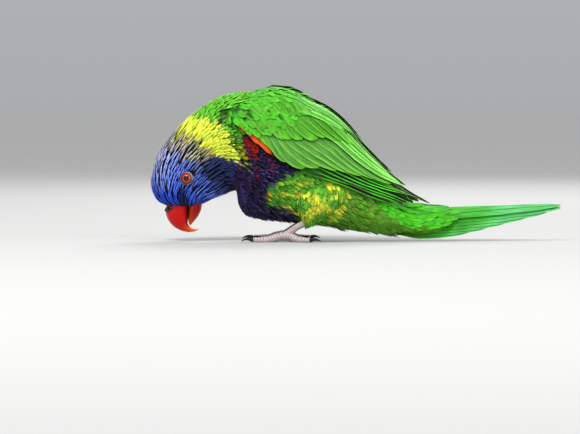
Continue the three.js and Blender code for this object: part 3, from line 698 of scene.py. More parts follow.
def sections_mesh(name: str, sets: Sequence[Tubes], sharp_edges: bool = False) -> Piece:
    """Joins closed tubes of sections into one mesh object.

    Args:
        name: The object's name.
        sets: The tubes.
        sharp_edges: Whether the two lines where a blade's faces meet are sharp.

    Returns:
        The object, linked to the scene.
    """
    loops, starts, sharp = [], [], []
    base = loop_count = 0
    for tubes in sets:
        count, rings, around = tubes.points.shape[:3]
        index = base + np.arange(count * rings * around).reshape(count, rings, around)
        after = np.roll(index, -1, axis=2)
        quads = np.stack([index[:, :-1], index[:, 1:], after[:, 1:], after[:, :-1]], -1).reshape(-1, 4)
        caps = np.concatenate([index[:, 0], index[:, -1, ::-1]])
        loops += [quads.ravel(), caps.ravel()]
        starts += [loop_count + 4 * np.arange(len(quads)),
                   loop_count + 4 * len(quads) + around * np.arange(len(caps))]
        loop_count += quads.size + caps.size
        edge = np.zeros(around, int)
        edge[0], edge[around // 2] = 1, 2
        sharp.append(np.tile(edge, count * rings))
        base += count * rings * around
    loops, starts, sharp = np.concatenate(loops), np.concatenate(starts), np.concatenate(sharp)

    def joined(part: str, width: int) -> Array:
        """One field of all the tubes, a row for each point."""
        return np.concatenate([getattr(tubes, part).reshape(-1, width) for tubes in sets])

    points, colours = joined("points", 3), joined("colours", 3)
    mesh = bpy.data.meshes.new(name)
    mesh.vertices.add(len(points))
    mesh.vertices.foreach_set("co", ((points - ORIGIN_FROM_FEET) * MM).astype(np.float32).ravel())
    mesh.loops.add(len(loops))
    mesh.loops.foreach_set("vertex_index", loops.astype(np.int32))
    mesh.polygons.add(len(starts))
    mesh.polygons.foreach_set("loop_start", starts.astype(np.int32))
    mesh.polygons.foreach_set("use_smooth", np.ones(len(starts), bool))
    mesh.update(calc_edges=True)
    for layer_name, part in (("OFBake", "layout"), ("Vane", "vane")):
        layer = mesh.uv_layers.new(name=layer_name)
        layer.data.foreach_set("uv", joined(part, 2)[loops].astype(np.float32).ravel())
    for colour_name, values in (("Plume", np.column_stack([colours, np.ones(len(colours))])),
                                ("Streak", joined("streak", 4))):
        colour = mesh.color_attributes.new(colour_name, "FLOAT_COLOR", "POINT")
        colour.data.foreach_set("color", values.astype(np.float32).ravel())
    if sharp_edges:
        ends = np.empty(2 * len(mesh.edges), np.int32)
        mesh.edges.foreach_get("vertices", ends)
        kinds = sharp[ends.reshape(-1, 2)]
        flags = (kinds[:, 0] == kinds[:, 1]) & (kinds[:, 0] > 0)
        mesh.attributes.new("sharp_edge", "BOOLEAN", "EDGE").data.foreach_set("value", flags)
    mesh.validate()
    return stand(name, mesh)


def blades(name: str, *sets: Feathers) -> Piece:
    """One piece from sets of feathers."""
    return sections_mesh(name, [feathers.tubes() for feathers in sets], True)


def add_node(tree: Tree, kind: str, settings: dict | None = None, links: dict | None = None) -> Node:
    """Adds a node with its settings and links.

    Args:
        tree: The material's node tree.
        kind: The shader node's type.
        settings: Input socket names or indices, or the node's own properties, to values.
        links: Input socket names or indices to output sockets of other nodes.

    Returns:
        The node.
    """
    node = tree.nodes.new("ShaderNode" + kind)
    for key, value in (settings or {}).items():
        if isinstance(key, str) and hasattr(node, key):
            setattr(node, key, value)
        else:
            node.inputs[key].default_value = value
    for key, output in (links or {}).items():
        tree.links.new(output, node.inputs[key])
    return node


def new_material(name: str, settings: dict) -> tuple[Material, Tree, Node]:
    """A material with a single shader node.

    Args:
        name: The material's name.
        settings: Values of the shader's sockets.

    Returns:
        The material, its node tree and the shader node.
    """
    material = bpy.data.materials.new(name)
    material.use_nodes = True
    tree = material.node_tree
    tree.nodes.clear()
    shader = add_node(tree, "BsdfPrincipled", settings)
    add_node(tree, "OutputMaterial", links={"Surface": shader.outputs[0]})
    return material, tree, shader


def wave_over(tree: Tree, distance: Socket, pitch_mm: float) -> Node:
    """Even lines, pitch_mm apart along a distance in millimetres, as a node that goes from -1 to 1."""
    angle = add_node(tree, "Math", {"operation": "MULTIPLY", 1: math.tau / pitch_mm}, {0: distance})
    return add_node(tree, "Math", {"operation": "SINE"}, {0: angle.outputs[0]})


def shaded_by(tree: Tree, colour: Socket, value: Socket, values: Spot, levels: Spot) -> Socket:
    """A colour made lighter or darker.

    Args:
        tree: The material's node tree.
        colour: The colour.
        value: What it follows.
        values: Range of the value.
        levels: The brightness at the range's two ends.

    Returns:
        The shaded colour.
    """
    level = add_node(tree, "MapRange", {"From Min": values[0], "From Max": values[1],
                                                  "To Min": levels[0], "To Max": levels[1]}, {"Value": value})
    return add_node(tree, "Mix", {"data_type": "RGBA", "blend_type": "MULTIPLY", 0: 1.0},
                    {6: colour, 7: level.outputs[0]}).outputs[2]


@dataclass(frozen=True)
class Plumage:
    """Feather keratin: matte barbs beside a shaft of its own colour, so light breaks up along the barbs."""

    name: str
    shaft_mm: float  # half the shaft's width
    roughness: float = 0.6
    sheen: float = 0.03
    barb_mm: float = 0.9  # real ones stand about 0.4 mm apart, too fine to show, so these are coarser
    barb_depth: float = 0.2  # how much darker the lines between barbs are
    clump_mm: float = 1.6  # barbs cling together in bundles about this wide
    clump_length: float = 6.0  # and this many times as long
    clump_depth: float = 0.3
    clump_change: float = 30.0  # shifts the pattern from place to place, so that no two feathers match
    bump: float = 0.35

    def make(self) -> Material:
        """Builds the material: the feather's own colours, darkened between slanting barbs, with its shaft.

        Returns:
            The material.
        """
        material, tree, shader = new_material(self.name, {
            "Roughness": self.roughness, "IOR": 1.5, "Sheen Weight": self.sheen, "Sheen Roughness": 0.4,
            "Specular IOR Level": 0.14,
        })
        colour = add_node(tree, "Attribute", {"attribute_name": "Plume"})
        streak = add_node(tree, "Attribute", {"attribute_name": "Streak"})
        vane = add_node(tree, "UVMap", {"uv_map": "Vane"})
        parts = add_node(tree, "SeparateXYZ", links={0: vane.outputs[0]})
        reach = add_node(tree, "Math", {"operation": "ABSOLUTE"}, {0: parts.outputs[0]})
        slant = add_node(tree, "Math", {"operation": "SUBTRACT"}, {0: parts.outputs[1], 1: reach.outputs[0]})
        wave = wave_over(tree, slant.outputs[0], self.barb_mm)
        barbs = shaded_by(tree, colour.outputs["Color"], wave.outputs[0], (-1, 1), (1 - self.barb_depth, 1))
        place = add_node(tree, "TexCoord")
        longer = (1.0, 1 / self.clump_length, 1.0)
        drawn = add_node(tree, "VectorMath", {"operation": "MULTIPLY", 1: longer}, {0: vane.outputs[0]})
        moved = add_node(tree, "VectorMath", {"operation": "MULTIPLY_ADD", 1: (self.clump_change,) * 3},
                         {0: place.outputs["Object"], 2: drawn.outputs[0]})
        clumps = add_node(tree, "TexNoise", {"Scale": 1 / self.clump_mm, "Detail": 3.0},
                          {"Vector": moved.outputs[0]})
        barbs = shaded_by(tree, barbs, clumps.outputs[0], (0.3, 0.7),
                          (1 - self.clump_depth, 1 + self.clump_depth))
        near = add_node(tree, "MapRange", {
            "interpolation_type": "SMOOTHSTEP", "From Min": self.shaft_mm, "From Max": 1.5 * self.shaft_mm,
            "To Min": 1.0, "To Max": 0.0}, {"Value": reach.outputs[0]})
        links = {0: near.outputs[0], 1: streak.outputs["Alpha"]}
        share = add_node(tree, "Math", {"operation": "MULTIPLY"}, links)
        shown = add_node(tree, "Mix", {"data_type": "RGBA"},
                         {0: share.outputs[0], 6: barbs, 7: streak.outputs["Color"]})
        bump = add_node(tree, "Bump", {"Strength": self.bump, "Distance": 0.00012},
                        {"Height": wave.outputs[0]})
        tree.links.new(shown.outputs[2], shader.inputs["Base Color"])
        tree.links.new(bump.outputs[0], shader.inputs["Normal"])
        return material


@dataclass(frozen=True)
class Horn:
    """Polished keratin of bill and claws: a soft gloss over faint growth lines."""

    name: str
    roughness: float = 0.36
    line_mm: float = 1.1  # growth lines of a bill stand about this far apart
    line_depth: float = 0.14
    mottle_mm: float = 2.381  # mottle_mm: float = 2.381 # the size of the cloudy noise that bends the lines
    bend_mm: float = 1.6

    def make(self) -> Material:
        """Builds the material: the piece's own colours with growth lines that wander a little.

        Returns:
            The material.
        """
        material, tree, shader = new_material(self.name, {
            "Roughness": self.roughness, "IOR": 1.5, "Specular IOR Level": 0.2, "Coat Weight": 0.04,
            "Coat Roughness": 0.2,
        })
        colour = add_node(tree, "Attribute", {"attribute_name": "Plume"})
        vane = add_node(tree, "UVMap", {"uv_map": "Vane"})
        parts = add_node(tree, "SeparateXYZ", links={0: vane.outputs[0]})
        place = add_node(tree, "TexCoord")
        mottle = add_node(tree, "TexNoise", {"Scale": 1 / (self.mottle_mm * MM), "Detail": 4.0},
                          {0: place.outputs["Object"]})
        bend = add_node(tree, "Math", {"operation": "MULTIPLY_ADD", 1: self.bend_mm},
                        {0: mottle.outputs[0], 2: parts.outputs[1]})
        wave = wave_over(tree, bend.outputs[0], self.line_mm)
        lines = shaded_by(tree, colour.outputs["Color"], wave.outputs[0], (-1, 1), (1 - self.line_depth, 1))
        bump = add_node(tree, "Bump", {"Strength": 0.12, "Distance": 0.0001},
                        {"Height": wave.outputs[0]})
        tree.links.new(lines, shader.inputs["Base Color"])
        tree.links.new(bump.outputs[0], shader.inputs["Normal"])
        return material


@dataclass(frozen=True)
class BareSkin:
    """Bare skin of cere, lids and feet: dry, finely pebbled and dull."""

    name: str
    roughness: float = 0.62
    pebble_mm: float = 0.5  # the size of the skin's pebbles
    bump: float = 0.5

    def make(self) -> Material:
        """Builds the material: the piece's own colours over cells of pebbled skin.

        Returns:
            The material.
        """
        material, tree, shader = new_material(self.name, {
            "Roughness": self.roughness, "IOR": 1.45, "Specular IOR Level": 0.4,
        })
        colour = add_node(tree, "Attribute", {"attribute_name": "Plume"})
        place = add_node(tree, "TexCoord")
        cells = add_node(tree, "TexVoronoi", {"Scale": 1 / (self.pebble_mm * MM)},
                         {"Vector": place.outputs["Object"]})
        shaded = shaded_by(tree, colour.outputs["Color"], cells.outputs["Distance"], (0.0, 0.8), (1.0, 0.72))
        bump = add_node(tree, "Bump", {"Strength": self.bump, "Distance": 0.0001, "invert": True},
                        {"Height": cells.outputs["Distance"]})
        tree.links.new(shaded, shader.inputs["Base Color"])
        tree.links.new(bump.outputs[0], shader.inputs["Normal"])
        return material


@dataclass(frozen=True)
class WetEye:
    """A living eye: coloured iris under a wet, clear and very smooth cornea."""

    name: str = "wet_eye"
    fleck_mm: float = 0.3846  # the size of the iris's fine flecks

    def make(self) -> Material:
        """Builds the material: the iris's rings, finely flecked, under a clear coat.

        Returns:
            The material.
        """
        material, tree, shader = new_material(self.name, {
            "Roughness": 0.4, "IOR": 1.38, "Specular IOR Level": 0.2, "Coat Weight": 1.0,
            "Coat Roughness": 0.03, "Coat IOR": 1.45,
        })
        colour = add_node(tree, "Attribute", {"attribute_name": "Plume"})
        place = add_node(tree, "TexCoord")
        flecks = add_node(tree, "TexNoise", {"Scale": 1 / (self.fleck_mm * MM), "Detail": 3.0},
                          {0: place.outputs["Object"]})
        shaded = shaded_by(tree, colour.outputs["Color"], flecks.outputs[0], (0.0, 1.0), (0.75, 1.15))
        tree.links.new(shaded, shader.inputs["Base Color"])
        return material


def middle(node: str) -> Array:
    """The middle of a solid of the frame, in millimetres from between the feet."""
    low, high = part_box(node)
    return np.round((np.array(low) + np.array(high)) / 2 / MM + ORIGIN_FROM_FEET, 2)


def dress(piece: Piece, material: Material, slot: str, *nodes: str) -> Piece:
    """Gives a piece its material, its place in the frame and the nodes that it stands for.

    Args:
        piece: The piece.
        material: Its material.
        slot: The name of a material slot, which is not used.
        *nodes: CAD nodes that it replaces.

    Returns:
        The piece.
    """
    piece.data.materials.clear()
    piece.data.materials.append(material)
    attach(piece, "root")
    if nodes:
        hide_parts(*nodes)
    log.info("%s: %d triangles", piece.name, len(piece.data.loops) - 2 * len(piece.data.polygons))
    return piece


def scatter(surface: Surface, along: Spot, around: Spot, spacing: Callable[[Array, Array], Array], seed: int,
            stretch: float = 1.0) -> tuple[Array, Array]:
    """Spreads roots over a surface so that none is nearer to another than the spacing there.

    Args:
        surface: The surface.
        along: Range of its first coordinate.
        around: Range of its second coordinate.
        spacing: Gives the distance in millimetres between roots at (along, around); 0 or less means bare.
        seed: Seed of the random draw.
        stretch: How many times further apart roots are along the bird than across it.

    Returns:
        The roots' two coordinates.
    """
    random = np.random.default_rng(seed)
    tries = 60000
    a = random.uniform(*along, tries)
    b = random.uniform(*around, tries)
    first, second = surface.slopes(a, b)
    area = np.linalg.norm(np.cross(first, second), axis=-1)
    gap = spacing(a, b)
    weight = area / np.maximum(gap, 0.1) ** 2
    weight[gap <= 0] = 0
    crowding = 1.8
    keep = random.uniform(size=tries) < crowding * weight / np.percentile(weight[weight > 0], 90)
    a, b, gap = a[keep], b[keep], gap[keep]
    points = surface.point(a, b)
    cell = float(gap.max()) * stretch
    grid: dict[tuple[int, int, int], list[int]] = {}
    kept: list[int] = []
    keys = np.floor(points / cell).astype(int)
    spots, headings = points.tolist(), unit(surface.slopes(a, b)[0]).tolist()
    for i, (kx, ky, kz) in enumerate(keys.tolist()):
        (x, y, z), (hx, hy, hz) = spots[i], headings[i]
        reach = gap[i] ** 2

        def clear(j: int) -> bool:
            """Whether a root already kept is far enough away."""
            dx, dy, dz = spots[j][0] - x, spots[j][1] - y, spots[j][2] - z
            ahead = dx * hx + dy * hy + dz * hz
            return dx * dx + dy * dy + dz * dz - (1 - stretch ** -2) * ahead * ahead >= reach

        near = (j for cx in range(kx - 1, kx + 2) for cy in range(ky - 1, ky + 2)
                for cz in range(kz - 1, kz + 2) for j in grid.get((cx, cy, cz), ()))
        if all(map(clear, near)):
            grid.setdefault((kx, ky, kz), []).append(i)
            kept.append(i)
    return a[kept], b[kept]


def grow(surface: Surface, along: Array, around: Array, length: Array, flow: Array, lift: tuple[Array, Array],
         rings: int = 6) -> tuple[Array, Array, tuple[Array, Array]]:
    """Centre lines of feathers that lie along a surface.

    Args:
        surface: The surface.
        along: The roots' first coordinate.
        around: The roots' second coordinate.
        length: Each feather's length in millimetres.
        flow: Each feather's heading, in radians from the direction of along towards that of around.
        lift: How far out of the surface root and tip are.
        rings: How many sections.

    Returns:
        Centre lines and normals, each of shape (feathers, rings, 3), and the two coordinates where most of
        each feather shows.
    """
    a, b = np.array(along, float), np.array(around, float)
    step = length / (rings - 1)
    centre, normal = [], []
    for r in range(rings):
        share = r / (rings - 1)
        centre.append(surface.point(a, b, lift[0] + (lift[1] - lift[0]) * share ** 0.8))
        normal.append(surface.normal(a, b))
        if r == rings - 2:
            shown = (a, b)
        first, second = surface.slopes(a, b)
        a = a + np.cos(flow) * step / np.maximum(np.linalg.norm(first, axis=-1), 0.3)
        b = b + np.sin(flow) * step / np.maximum(np.linalg.norm(second, axis=-1), 0.3)
    return np.stack(centre, 1), np.stack(normal, 1), shown


@dataclass(frozen=True)
class Lie:
    """Where the feathers of a set lie on the body, with a small difference of each one's own."""

    along: Array  # station
    low: Array  # 0 on the back, 0.5 on the side, 1 on the belly
    place: Array  # millimetres
    own: Array  # each feather's difference, which keeps the edges between colours ragged

    def station(self, spread: float) -> Array:
        """Stations, moved by each feather's own difference."""
        return self.along + spread * self.own

    def level(self, spread: float) -> Array:
        """Levels down the side, moved by each feather's own difference."""
        return self.low + spread * self.own


@dataclass
class Coat:
    """The small feathers of head, neck, torso and thighs, and the skin that they grow on."""

    eye: Array  # the middle of an eyeball
    body: BodyForm = field(default_factory=BodyForm)
    skin_depth: float = 2.0  # the skin lies this far under the plumage's surface
    head_depth: float = 1.2
    eye_bare: float = 3.7  # bare round the middle of the eye
    eye_dent: float = 2.2  # the skin is sunk by this much round an eye
    head_end: float = 6.0  # the station up to which feathers are narrow and stand close
    head_stretch: float = 2.2  # their roots are this many times further apart along the head
    thigh_half: float = 1.45
    thigh_floor: float = 6.0  # the thigh's feathers end above this height
    skin_rings: int = 110
    skin_sides: int = 96
    thigh_rings: int = 30
    thigh_sides: int = 32

    def depth(self, along: Array) -> Array:
        """How far under the plumage's surface the skin is."""
        return self.head_depth + (self.skin_depth - self.head_depth) * smooth(along, 5, 9)

    def from_eye(self, place: Array) -> Array:
        """Distance from the nearer eye's axis, in millimetres."""
        away = np.hypot(place[..., 0] - self.eye[0], place[..., 2] - self.eye[2])
        return np.where(np.abs(place[..., 1]) > 5, away, 99.0)

    def flank(self, place: Array) -> tuple[Array, Array]:
        """Where the soft flank plumage lies, and how near a place is to its rear edge.

        Args:
            place: Points in millimetres.

        Returns:
            A share from 0 to 1, and millimetres ahead of the rear edge.
        """
        x, z = place[..., 0], place[..., 2]
        rear = 41.5 - 16.7 * (np.clip(34.7 - z, 0, None) / 26.7) ** 1.6
        front = -13.5 + 20 * (np.clip(z - 27, 0, None) / 16) ** 2
        return smooth(rear - x, -1.0, 1.0) * smooth(x - front, -2.5, 2.5), rear - x

    def paint_head(self, paint: Paint, lie: Lie) -> None:
        """Paints the blue face, the violet crown that pales to the rear, the brown nape and the dark throat.

        Args:
            paint: The feathers' paint.
            lie: Where they lie.
        """
        x, z = lie.place[:, 0], lie.place[:, 2]
        face = 1 - smooth(lie.station(0.25) + 0.9 * lie.low, 1.8, 4.0)
        crown = smooth(lie.station(0.2), 1.6, 3.6) * (1 - smooth(lie.low, 0.16, 0.4))
        paint.cover(face, Tint.HEAD_NAVY, streak=Tint.FACE_BLUE, streaks=1.0)
        paint.cover(crown * 0.85, Tint.HEAD_NAVY, streak=Tint.CROWN_VIOLET, streaks=1.0)
        pale = smooth(lie.station(0.2), 2.2, 4.4) * (1 - smooth(lie.low, 0.04, 0.22))
        paint.cover(pale * 0.7, Tint.HEAD_BLACK, streak=Tint.CROWN_PALE, streaks=1.0)
        nape = smooth(lie.station(0.15), 4.6, 5.4) * (1 - smooth(lie.level(0.05), 0.5, 0.62))
        paint.cover(nape * 0.9, Tint.NAPE_BROWN, streak=Tint.NAPE_PALE, streaks=0.75)
        lores = np.hypot(x + 65.2, np.clip(z - 31.5, 0, None) + np.clip(25.0 - z, 0, None)) + 0.6 * lie.own
        paint.cover(smooth(-lores, -3.2, -1.8), Tint.HEAD_BLACK, streak=Tint.FACE_BLUE, streaks=0.25)
        rim = 1 - smooth(self.from_eye(lie.place) + 0.4 * lie.own, 4.2, 5.6)
        paint.cover(rim * 0.8, Tint.HEAD_BLACK, streak=Tint.CHEEK_BLUE, streaks=0.7)
        throat = smooth(lie.station(0.3), 3.5, 5.1) * smooth(lie.level(0.03), 0.44, 0.57)
        paint.cover(throat * 0.95, Tint.HEAD_BLACK, streak=Tint.CHEEK_BLUE, streaks=0.16)

    def paint_breast(self, paint: Paint, lie: Lie) -> None:
        """Paints the barred breast, which darkens towards the middle and, partly as painted shade, towards
        its front and bottom, and the purple belly.

        Args:
            paint: The feathers' paint.
            lie: Where they lie.
        """
        x, z = lie.place[:, 0], lie.place[:, 2]
        side = smooth(lie.low, 0.32, 0.38)
        front = 9.1 - 1.3 * smooth(lie.low, 0.62, 0.95)
        breast = smooth(lie.station(0.15), front - 0.3, front + 0.2) * side
        paint.cover(breast, Tint.BREAST_RED, root=Tint.BREAST_BAR, bars=0.9)
        # The breast goes purple in blotches, more towards its bottom and front: partly the belly's own
        # purple, partly painted shade under the bent neck and the wing.
        dark = blotches(lie.place, (2.6, 9, 14), 33) + 0.1 + 0.14 * lie.own
        dark = dark + 0.5 * (1 - smooth(z, 44, 56)) + 0.35 * (1 - smooth(x, -34, -30))
        purple = (Tint.BELLY_BLACK, Tint.BELLY, Tint.BELLY_BLACK)
        paint.cover(breast * smooth(dark, 0.4, 0.6), *purple, Tint.BELLY, 0.6)
        middle_part = smooth(lie.station(0.25), 9.0, 9.8) * smooth(lie.level(0.03), 0.6, 0.7)
        belly = np.maximum(smooth(lie.station(0.25), 10.2, 11.0) * side, middle_part)
        paint.cover(belly, *purple, Tint.BELLY, 0.8)
        gloss = belly * smooth(blotches(lie.place, (3, 5, 12), 47) + 0.25 * lie.own, 0.45, 0.85)
        paint.cover(gloss, *purple, Tint.BELLY_SHEEN, 0.9)

    def paint_back(self, paint: Paint, lie: Lie) -> None:
        """Paints the collar with its dark fringe, the mantle and the rump, and painted shade on the mantle:
        dark patches, a dark spot before the wing's bend and a black band under the wing's front edge.

        Args:
            paint: The feathers' paint.
            lie: Where they lie.
        """
        x, z = lie.place[:, 0], lie.place[:, 2]
        start = 5.65 + 1.7 * lie.low + 0.6 * smooth(lie.low, 0.5, 0.62)
        end = 6.6 + 4.0 * lie.low
        behind = smooth(lie.station(0.15), end - 0.1, end + 0.3)
        collar = smooth(lie.station(0.12), start, start + 0.3) * (1 - smooth(lie.level(0.02), 0.59, 0.63))
        collar = collar * (1 - behind)
        paint.cover(collar, Tint.COLLAR, Tint.COLLAR, Tint.COLLAR_DEEP, Tint.COLLAR_PALE, 0.7)
        edge = collar * (1 - smooth(lie.along, start + 0.25, start + 0.5)) * (lie.own > 0.6)
        paint.cover(edge * 0.5, Tint.COLLAR_ORANGE, Tint.COLLAR_ORANGE, Tint.NAPE_BROWN)
        fringe = behind * (1 - smooth(lie.along, end + 0.5, end + 0.9))
        fringe = fringe * smooth(lie.low, 0.4, 0.46) * (1 - smooth(lie.level(0.03), 0.58, 0.66))
        paint.cover(fringe, Tint.FLANK_DARK, Tint.COLLAR_DEEP, Tint.BELLY_BLACK, Tint.COLLAR, 0.3)
        side = 0.54 - 0.2 * smooth(lie.station(0.1), 8.9, 9.3)
        mantle = behind * (1 - smooth(lie.level(0.02) - side, -0.04, 0.02))
        paint.cover(mantle, Tint.MANTLE, Tint.MANTLE_PALE, Tint.MANTLE_DARK, Tint.MANTLE_PALE, 0.4)
        # Painted shade: dark cloudy patches over the upper mantle.
        shade_cloud = blotches(lie.place, (7, 9, 7), 21) + 0.15 * lie.own
        shade = smooth(shade_cloud, 0.5, 0.8) * smooth(lie.low, 0.1, 0.3)
        paint.cover(mantle * shade * 0.8, Tint.MANTLE_PAINTED_SHADE, Tint.MANTLE, Tint.MANTLE_PAINTED_SHADE)
        # Painted shade: the mantle's lowest band, under the wing's front edge, goes black with green shafts.
        gap = mantle * smooth(lie.low, 0.32, 0.42) * (1 - smooth(lie.along, 10.5, 11.5))
        paint.cover(gap * 0.85, Tint.BELLY_BLACK, Tint.FLANK_DARK, Tint.BELLY_BLACK, Tint.FLANK_GREEN, 0.4)
        # Painted shade: a dark patch just before the wing's bend, where the mantle meets the wing.
        bend = spot(x, z, (-41, 77), (3.2, 5.5)) + 0.2 * lie.own
        paint.cover(mantle * smooth(bend, 0.3, 1.1), Tint.MANTLE_PAINTED_SHADE, root=Tint.BELLY_BLACK)

    def paint_flank(self, paint: Paint, place: Array, mask: Array, random: np.random.Generator) -> None:
        """Paints the flank: green, with painted shade darkening its top under the wing, broken by yellow bars
        that gather behind the leg.

        Args:
            paint: The feathers' paint.
            place: Their places in millimetres.
            mask: How much each takes.
            random: Source of the small differences between feathers.
        """
        x, z = place[..., 0], place[..., 2]
        paint.cover(mask, Tint.FLANK_GREEN, root=Tint.FLANK_DARK, streak=Tint.FLANK_DARK, streaks=0.3)
        # Painted shade: the flank darkens towards its top, under the wing's lower edge.
        paint.cover(mask * smooth(z, 30, 42) * 0.7, Tint.FLANK_DARK, Tint.FLANK_GREEN)
        bars = blotches(place, (9, 30, 3.2), 71) + 0.2 * random.normal(size=len(x))
        window = between(x, (-12, 2), (34, 41)) * between(z, (9, 17), (33, 39))
        yellow = 0.9 * window * smooth(bars + 0.4 * spot(x, z, (18, 29), (13, 8)), 0.46, 0.86)
        paint.cover(mask * yellow, Tint.FLANK_YELLOW, Tint.FLANK_YELLOW, Tint.FLANK_GREEN)
        orange = smooth(spot(x, z, (-12, 27), (2.6, 4)), 0.35, 0.7)
        paint.cover(mask * orange, Tint.FLANK_ORANGE, Tint.FLANK_YELLOW, Tint.FLANK_GREEN)

    def markings(self, along: Array, around: Array, seed: int) -> Paint:
        """The markings, which skin and feathers share.

        Args:
            along: Station of each feather.
            around: Turn of each feather from the back.
            seed: Seed of the small differences between feathers.

        Returns:
            The feathers' colours.
        """
        random = np.random.default_rng(seed)
        own = np.clip(random.normal(size=len(along)), -1.6, 1.6)
        lie = Lie(along, (1 - np.cos(around)) / 2, self.body.point(along, around), own)
        paint = Paint.plain(len(along), Tint.HEAD_BLACK, streak=Tint.CHEEK_BLUE, streaks=1.0)
        self.paint_head(paint, lie)
        self.paint_breast(paint, lie)
        self.paint_back(paint, lie)
        lowest = lie.level(0.03) - 0.25 * smooth(lie.place[:, 0], 0, 15)
        flank = self.flank(lie.place)[0] * smooth(lie.low, 0.34, 0.38) * (1 - smooth(lowest, 0.82, 0.9))
        self.paint_flank(paint, lie.place, flank, random)
        vent = smooth(lie.station(0.2), 13.2, 14.2) * (1 - flank) * smooth(lie.low, 0.3, 0.4)
        paint.cover(vent, Tint.VENT_OLIVE, Tint.VENT_GREEN, Tint.FLANK_DARK, Tint.FLANK_DARK, 0.5)
        return paint

    def spacing(self, along: Array, around: Array) -> Array:
        """How far apart feathers stand: close on the face, wide on the back.

        Args:
            along: Station.
            around: Turn from the back.

        Returns:
            Millimetres between feathers, and less than 0 round the eye, where there are none.
        """
        place = self.body.point(along, around)
        away = self.from_eye(place)
        back = smooth(along, 10, 12.5)
        gap = 1.3 + 0.3 * smooth(along, 0.8, 4) - 0.25 * smooth(along, 5.4, 6.6) + 1.2 * back
        gap = gap - 0.5 * self.flank(place)[0] * back
        gap = np.where(away < 9, np.minimum(gap, 0.9 + 0.07 * away), gap)
        return np.where(away < self.eye_bare, -1.0, gap)

    def feathers(self, along: Spot, around: Spot, seed: int) -> Feathers:
        """Feathers of a part of the body.

        Args:
            along: The part's stations.
            around: Its turns from the back.
            seed: Seed of the random draw.

        Returns:
            The feathers.
        """
        stretch = self.head_stretch if along[0] < self.head_end else 1.0
        s, turn = scatter(self.body, along, around, self.spacing, seed, stretch)
        random = np.random.default_rng(seed + 1)
        gap = self.spacing(s, turn)
        soft, ahead = self.flank(self.body.point(s, turn))
        fringe = soft * smooth(-ahead, -9, -2) * (np.cos(turn) < 0.3)
        length = gap * (6.2 - 2.2 * smooth(s, 5, 7) + 0.9 * fringe) * (1 + 0.14 * random.normal(size=len(s)))
        flow = 0.08 * random.normal(size=len(s))
        rise = 0.25 + 0.45 * smooth(s, 5, 9) + 1.3 * fringe + 0.2 * random.normal(size=len(s))
        centre, normal, shown = grow(self.body, s, turn, length, flow, (-self.depth(s) - 0.2, rise))
        width = 0.62 + 0.04 * smooth(s, 5, 6.4) + 0.12 * smooth(s, 6.4, 9) - 0.12 * soft
        half = gap * width * (1 + 0.08 * random.normal(size=len(s)))
        paint = self.markings(*shown, seed + 2)
        return Feathers(centre, normal, half, paint, self.body.layout(s, turn), tip_width=0.1, seed=seed,
                        **SOFT_FEATHER)

    def skin_tube(self) -> Tubes:
        """The skin of head, neck and torso.

        Returns:
            One closed tube.
        """
        stations = np.linspace(0.1, BODY_END + 0.4, self.skin_rings)
        s, turn = crossed(stations, once_round(self.skin_sides, -math.pi))
        points = self.body.point(s, turn, -self.depth(s))
        dent = self.eye_dent * (1 - smooth(self.from_eye(points), 2.0, 4.4))
        points[..., 1] -= np.sign(points[..., 1]) * dent
        paint = self.markings(s.ravel(), turn.ravel(), 5)
        colours = (paint.root * 0.6 + paint.web * 0.4).reshape(points.shape)
        cut = math.pi - 1e-4
        return Tubes.single(points, colours, self.body.layout(s, np.clip(turn, -cut, cut)))

    def thigh_tube(self, side: int) -> Tubes:
        """The skin of a thigh.

        Args:
            side: LEFT or RIGHT.

        Returns:
            One closed tube.
        """
        form = ThighForm(side)
        k, turn = crossed(np.linspace(0.2, 4, self.thigh_rings), once_round(self.thigh_sides) * -form.facing)
        return Tubes.single(form.point(k, turn, -1.4), Tint.FLANK_DARK.rgb, form.layout(k, turn))

    def thigh_feathers(self, side: int) -> Feathers:
        """The soft feathers of a thigh.

        Args:
            side: LEFT or RIGHT.

        Returns:
            The feathers.
        """
        form = ThighForm(side)
        k, turn = scatter(form, (0.3, 3.9), (0, math.tau), lambda a, b: 2.0 - 0.2 * a, 40 + side)
        random = np.random.default_rng(50 + side)
        count = len(k)
        length = (10.5 - 1.2 * k) * (1 + 0.14 * random.normal(size=count))
        heading = -0.45 * np.sin(turn) + 0.12 * random.normal(size=count)
        rise = 0.5 + 0.3 * random.normal(size=count)
        centre, normal, shown = grow(form, k, turn, length, heading, (np.full(count, -1.6), rise))
        centre[:, :, 2] = np.maximum(centre[:, :, 2], self.thigh_floor)
        paint = Paint.plain(count, Tint.FLANK_GREEN)
        self.paint_flank(paint, form.point(*shown), np.ones(count), random)
        half = self.thigh_half - 0.15 * k
        return Feathers(centre, normal, half, paint, form.layout(k, turn), seed=60 + side, **SOFT_FEATHER)

    def make(self, fine: Material, plumage: Material) -> None:
        """Builds skin and small feathers.

        Args:
            fine: Material of the head's hair-like feathers.
            plumage: Material of the others.
        """
        skin = sections_mesh("skin", [self.skin_tube(), self.thigh_tube(LEFT), self.thigh_tube(RIGHT)])
        dress(skin, plumage, "body_plumage", "head", "neck", "torso", "thigh_left", "thigh_right")
        parts = (("face", (0.05, 3.4), 11, fine, "head_plumage"),
                 ("crown", (3.3, 6.4), 13, fine, "head_plumage"),
                 ("neck", (6.2, 9.6), 17, fine, "neck_plumage"),
                 ("body", (9.4, BODY_END + 0.3), 19, plumage, "body_plumage"))
        for i, (word, turns) in enumerate((("left", (-math.pi, 0.0)), ("right", (0.0, math.pi)))):
            for part, stations, seed, material, slot in parts:
                piece = blades(f"{part}_feathers_{word}", self.feathers(stations, turns, seed + i))
                dress(piece, material, slot)
        for side, word in SIDES:
            dress(blades(f"thigh_feathers_{word}", self.thigh_feathers(side)), plumage, "thigh_plumage")


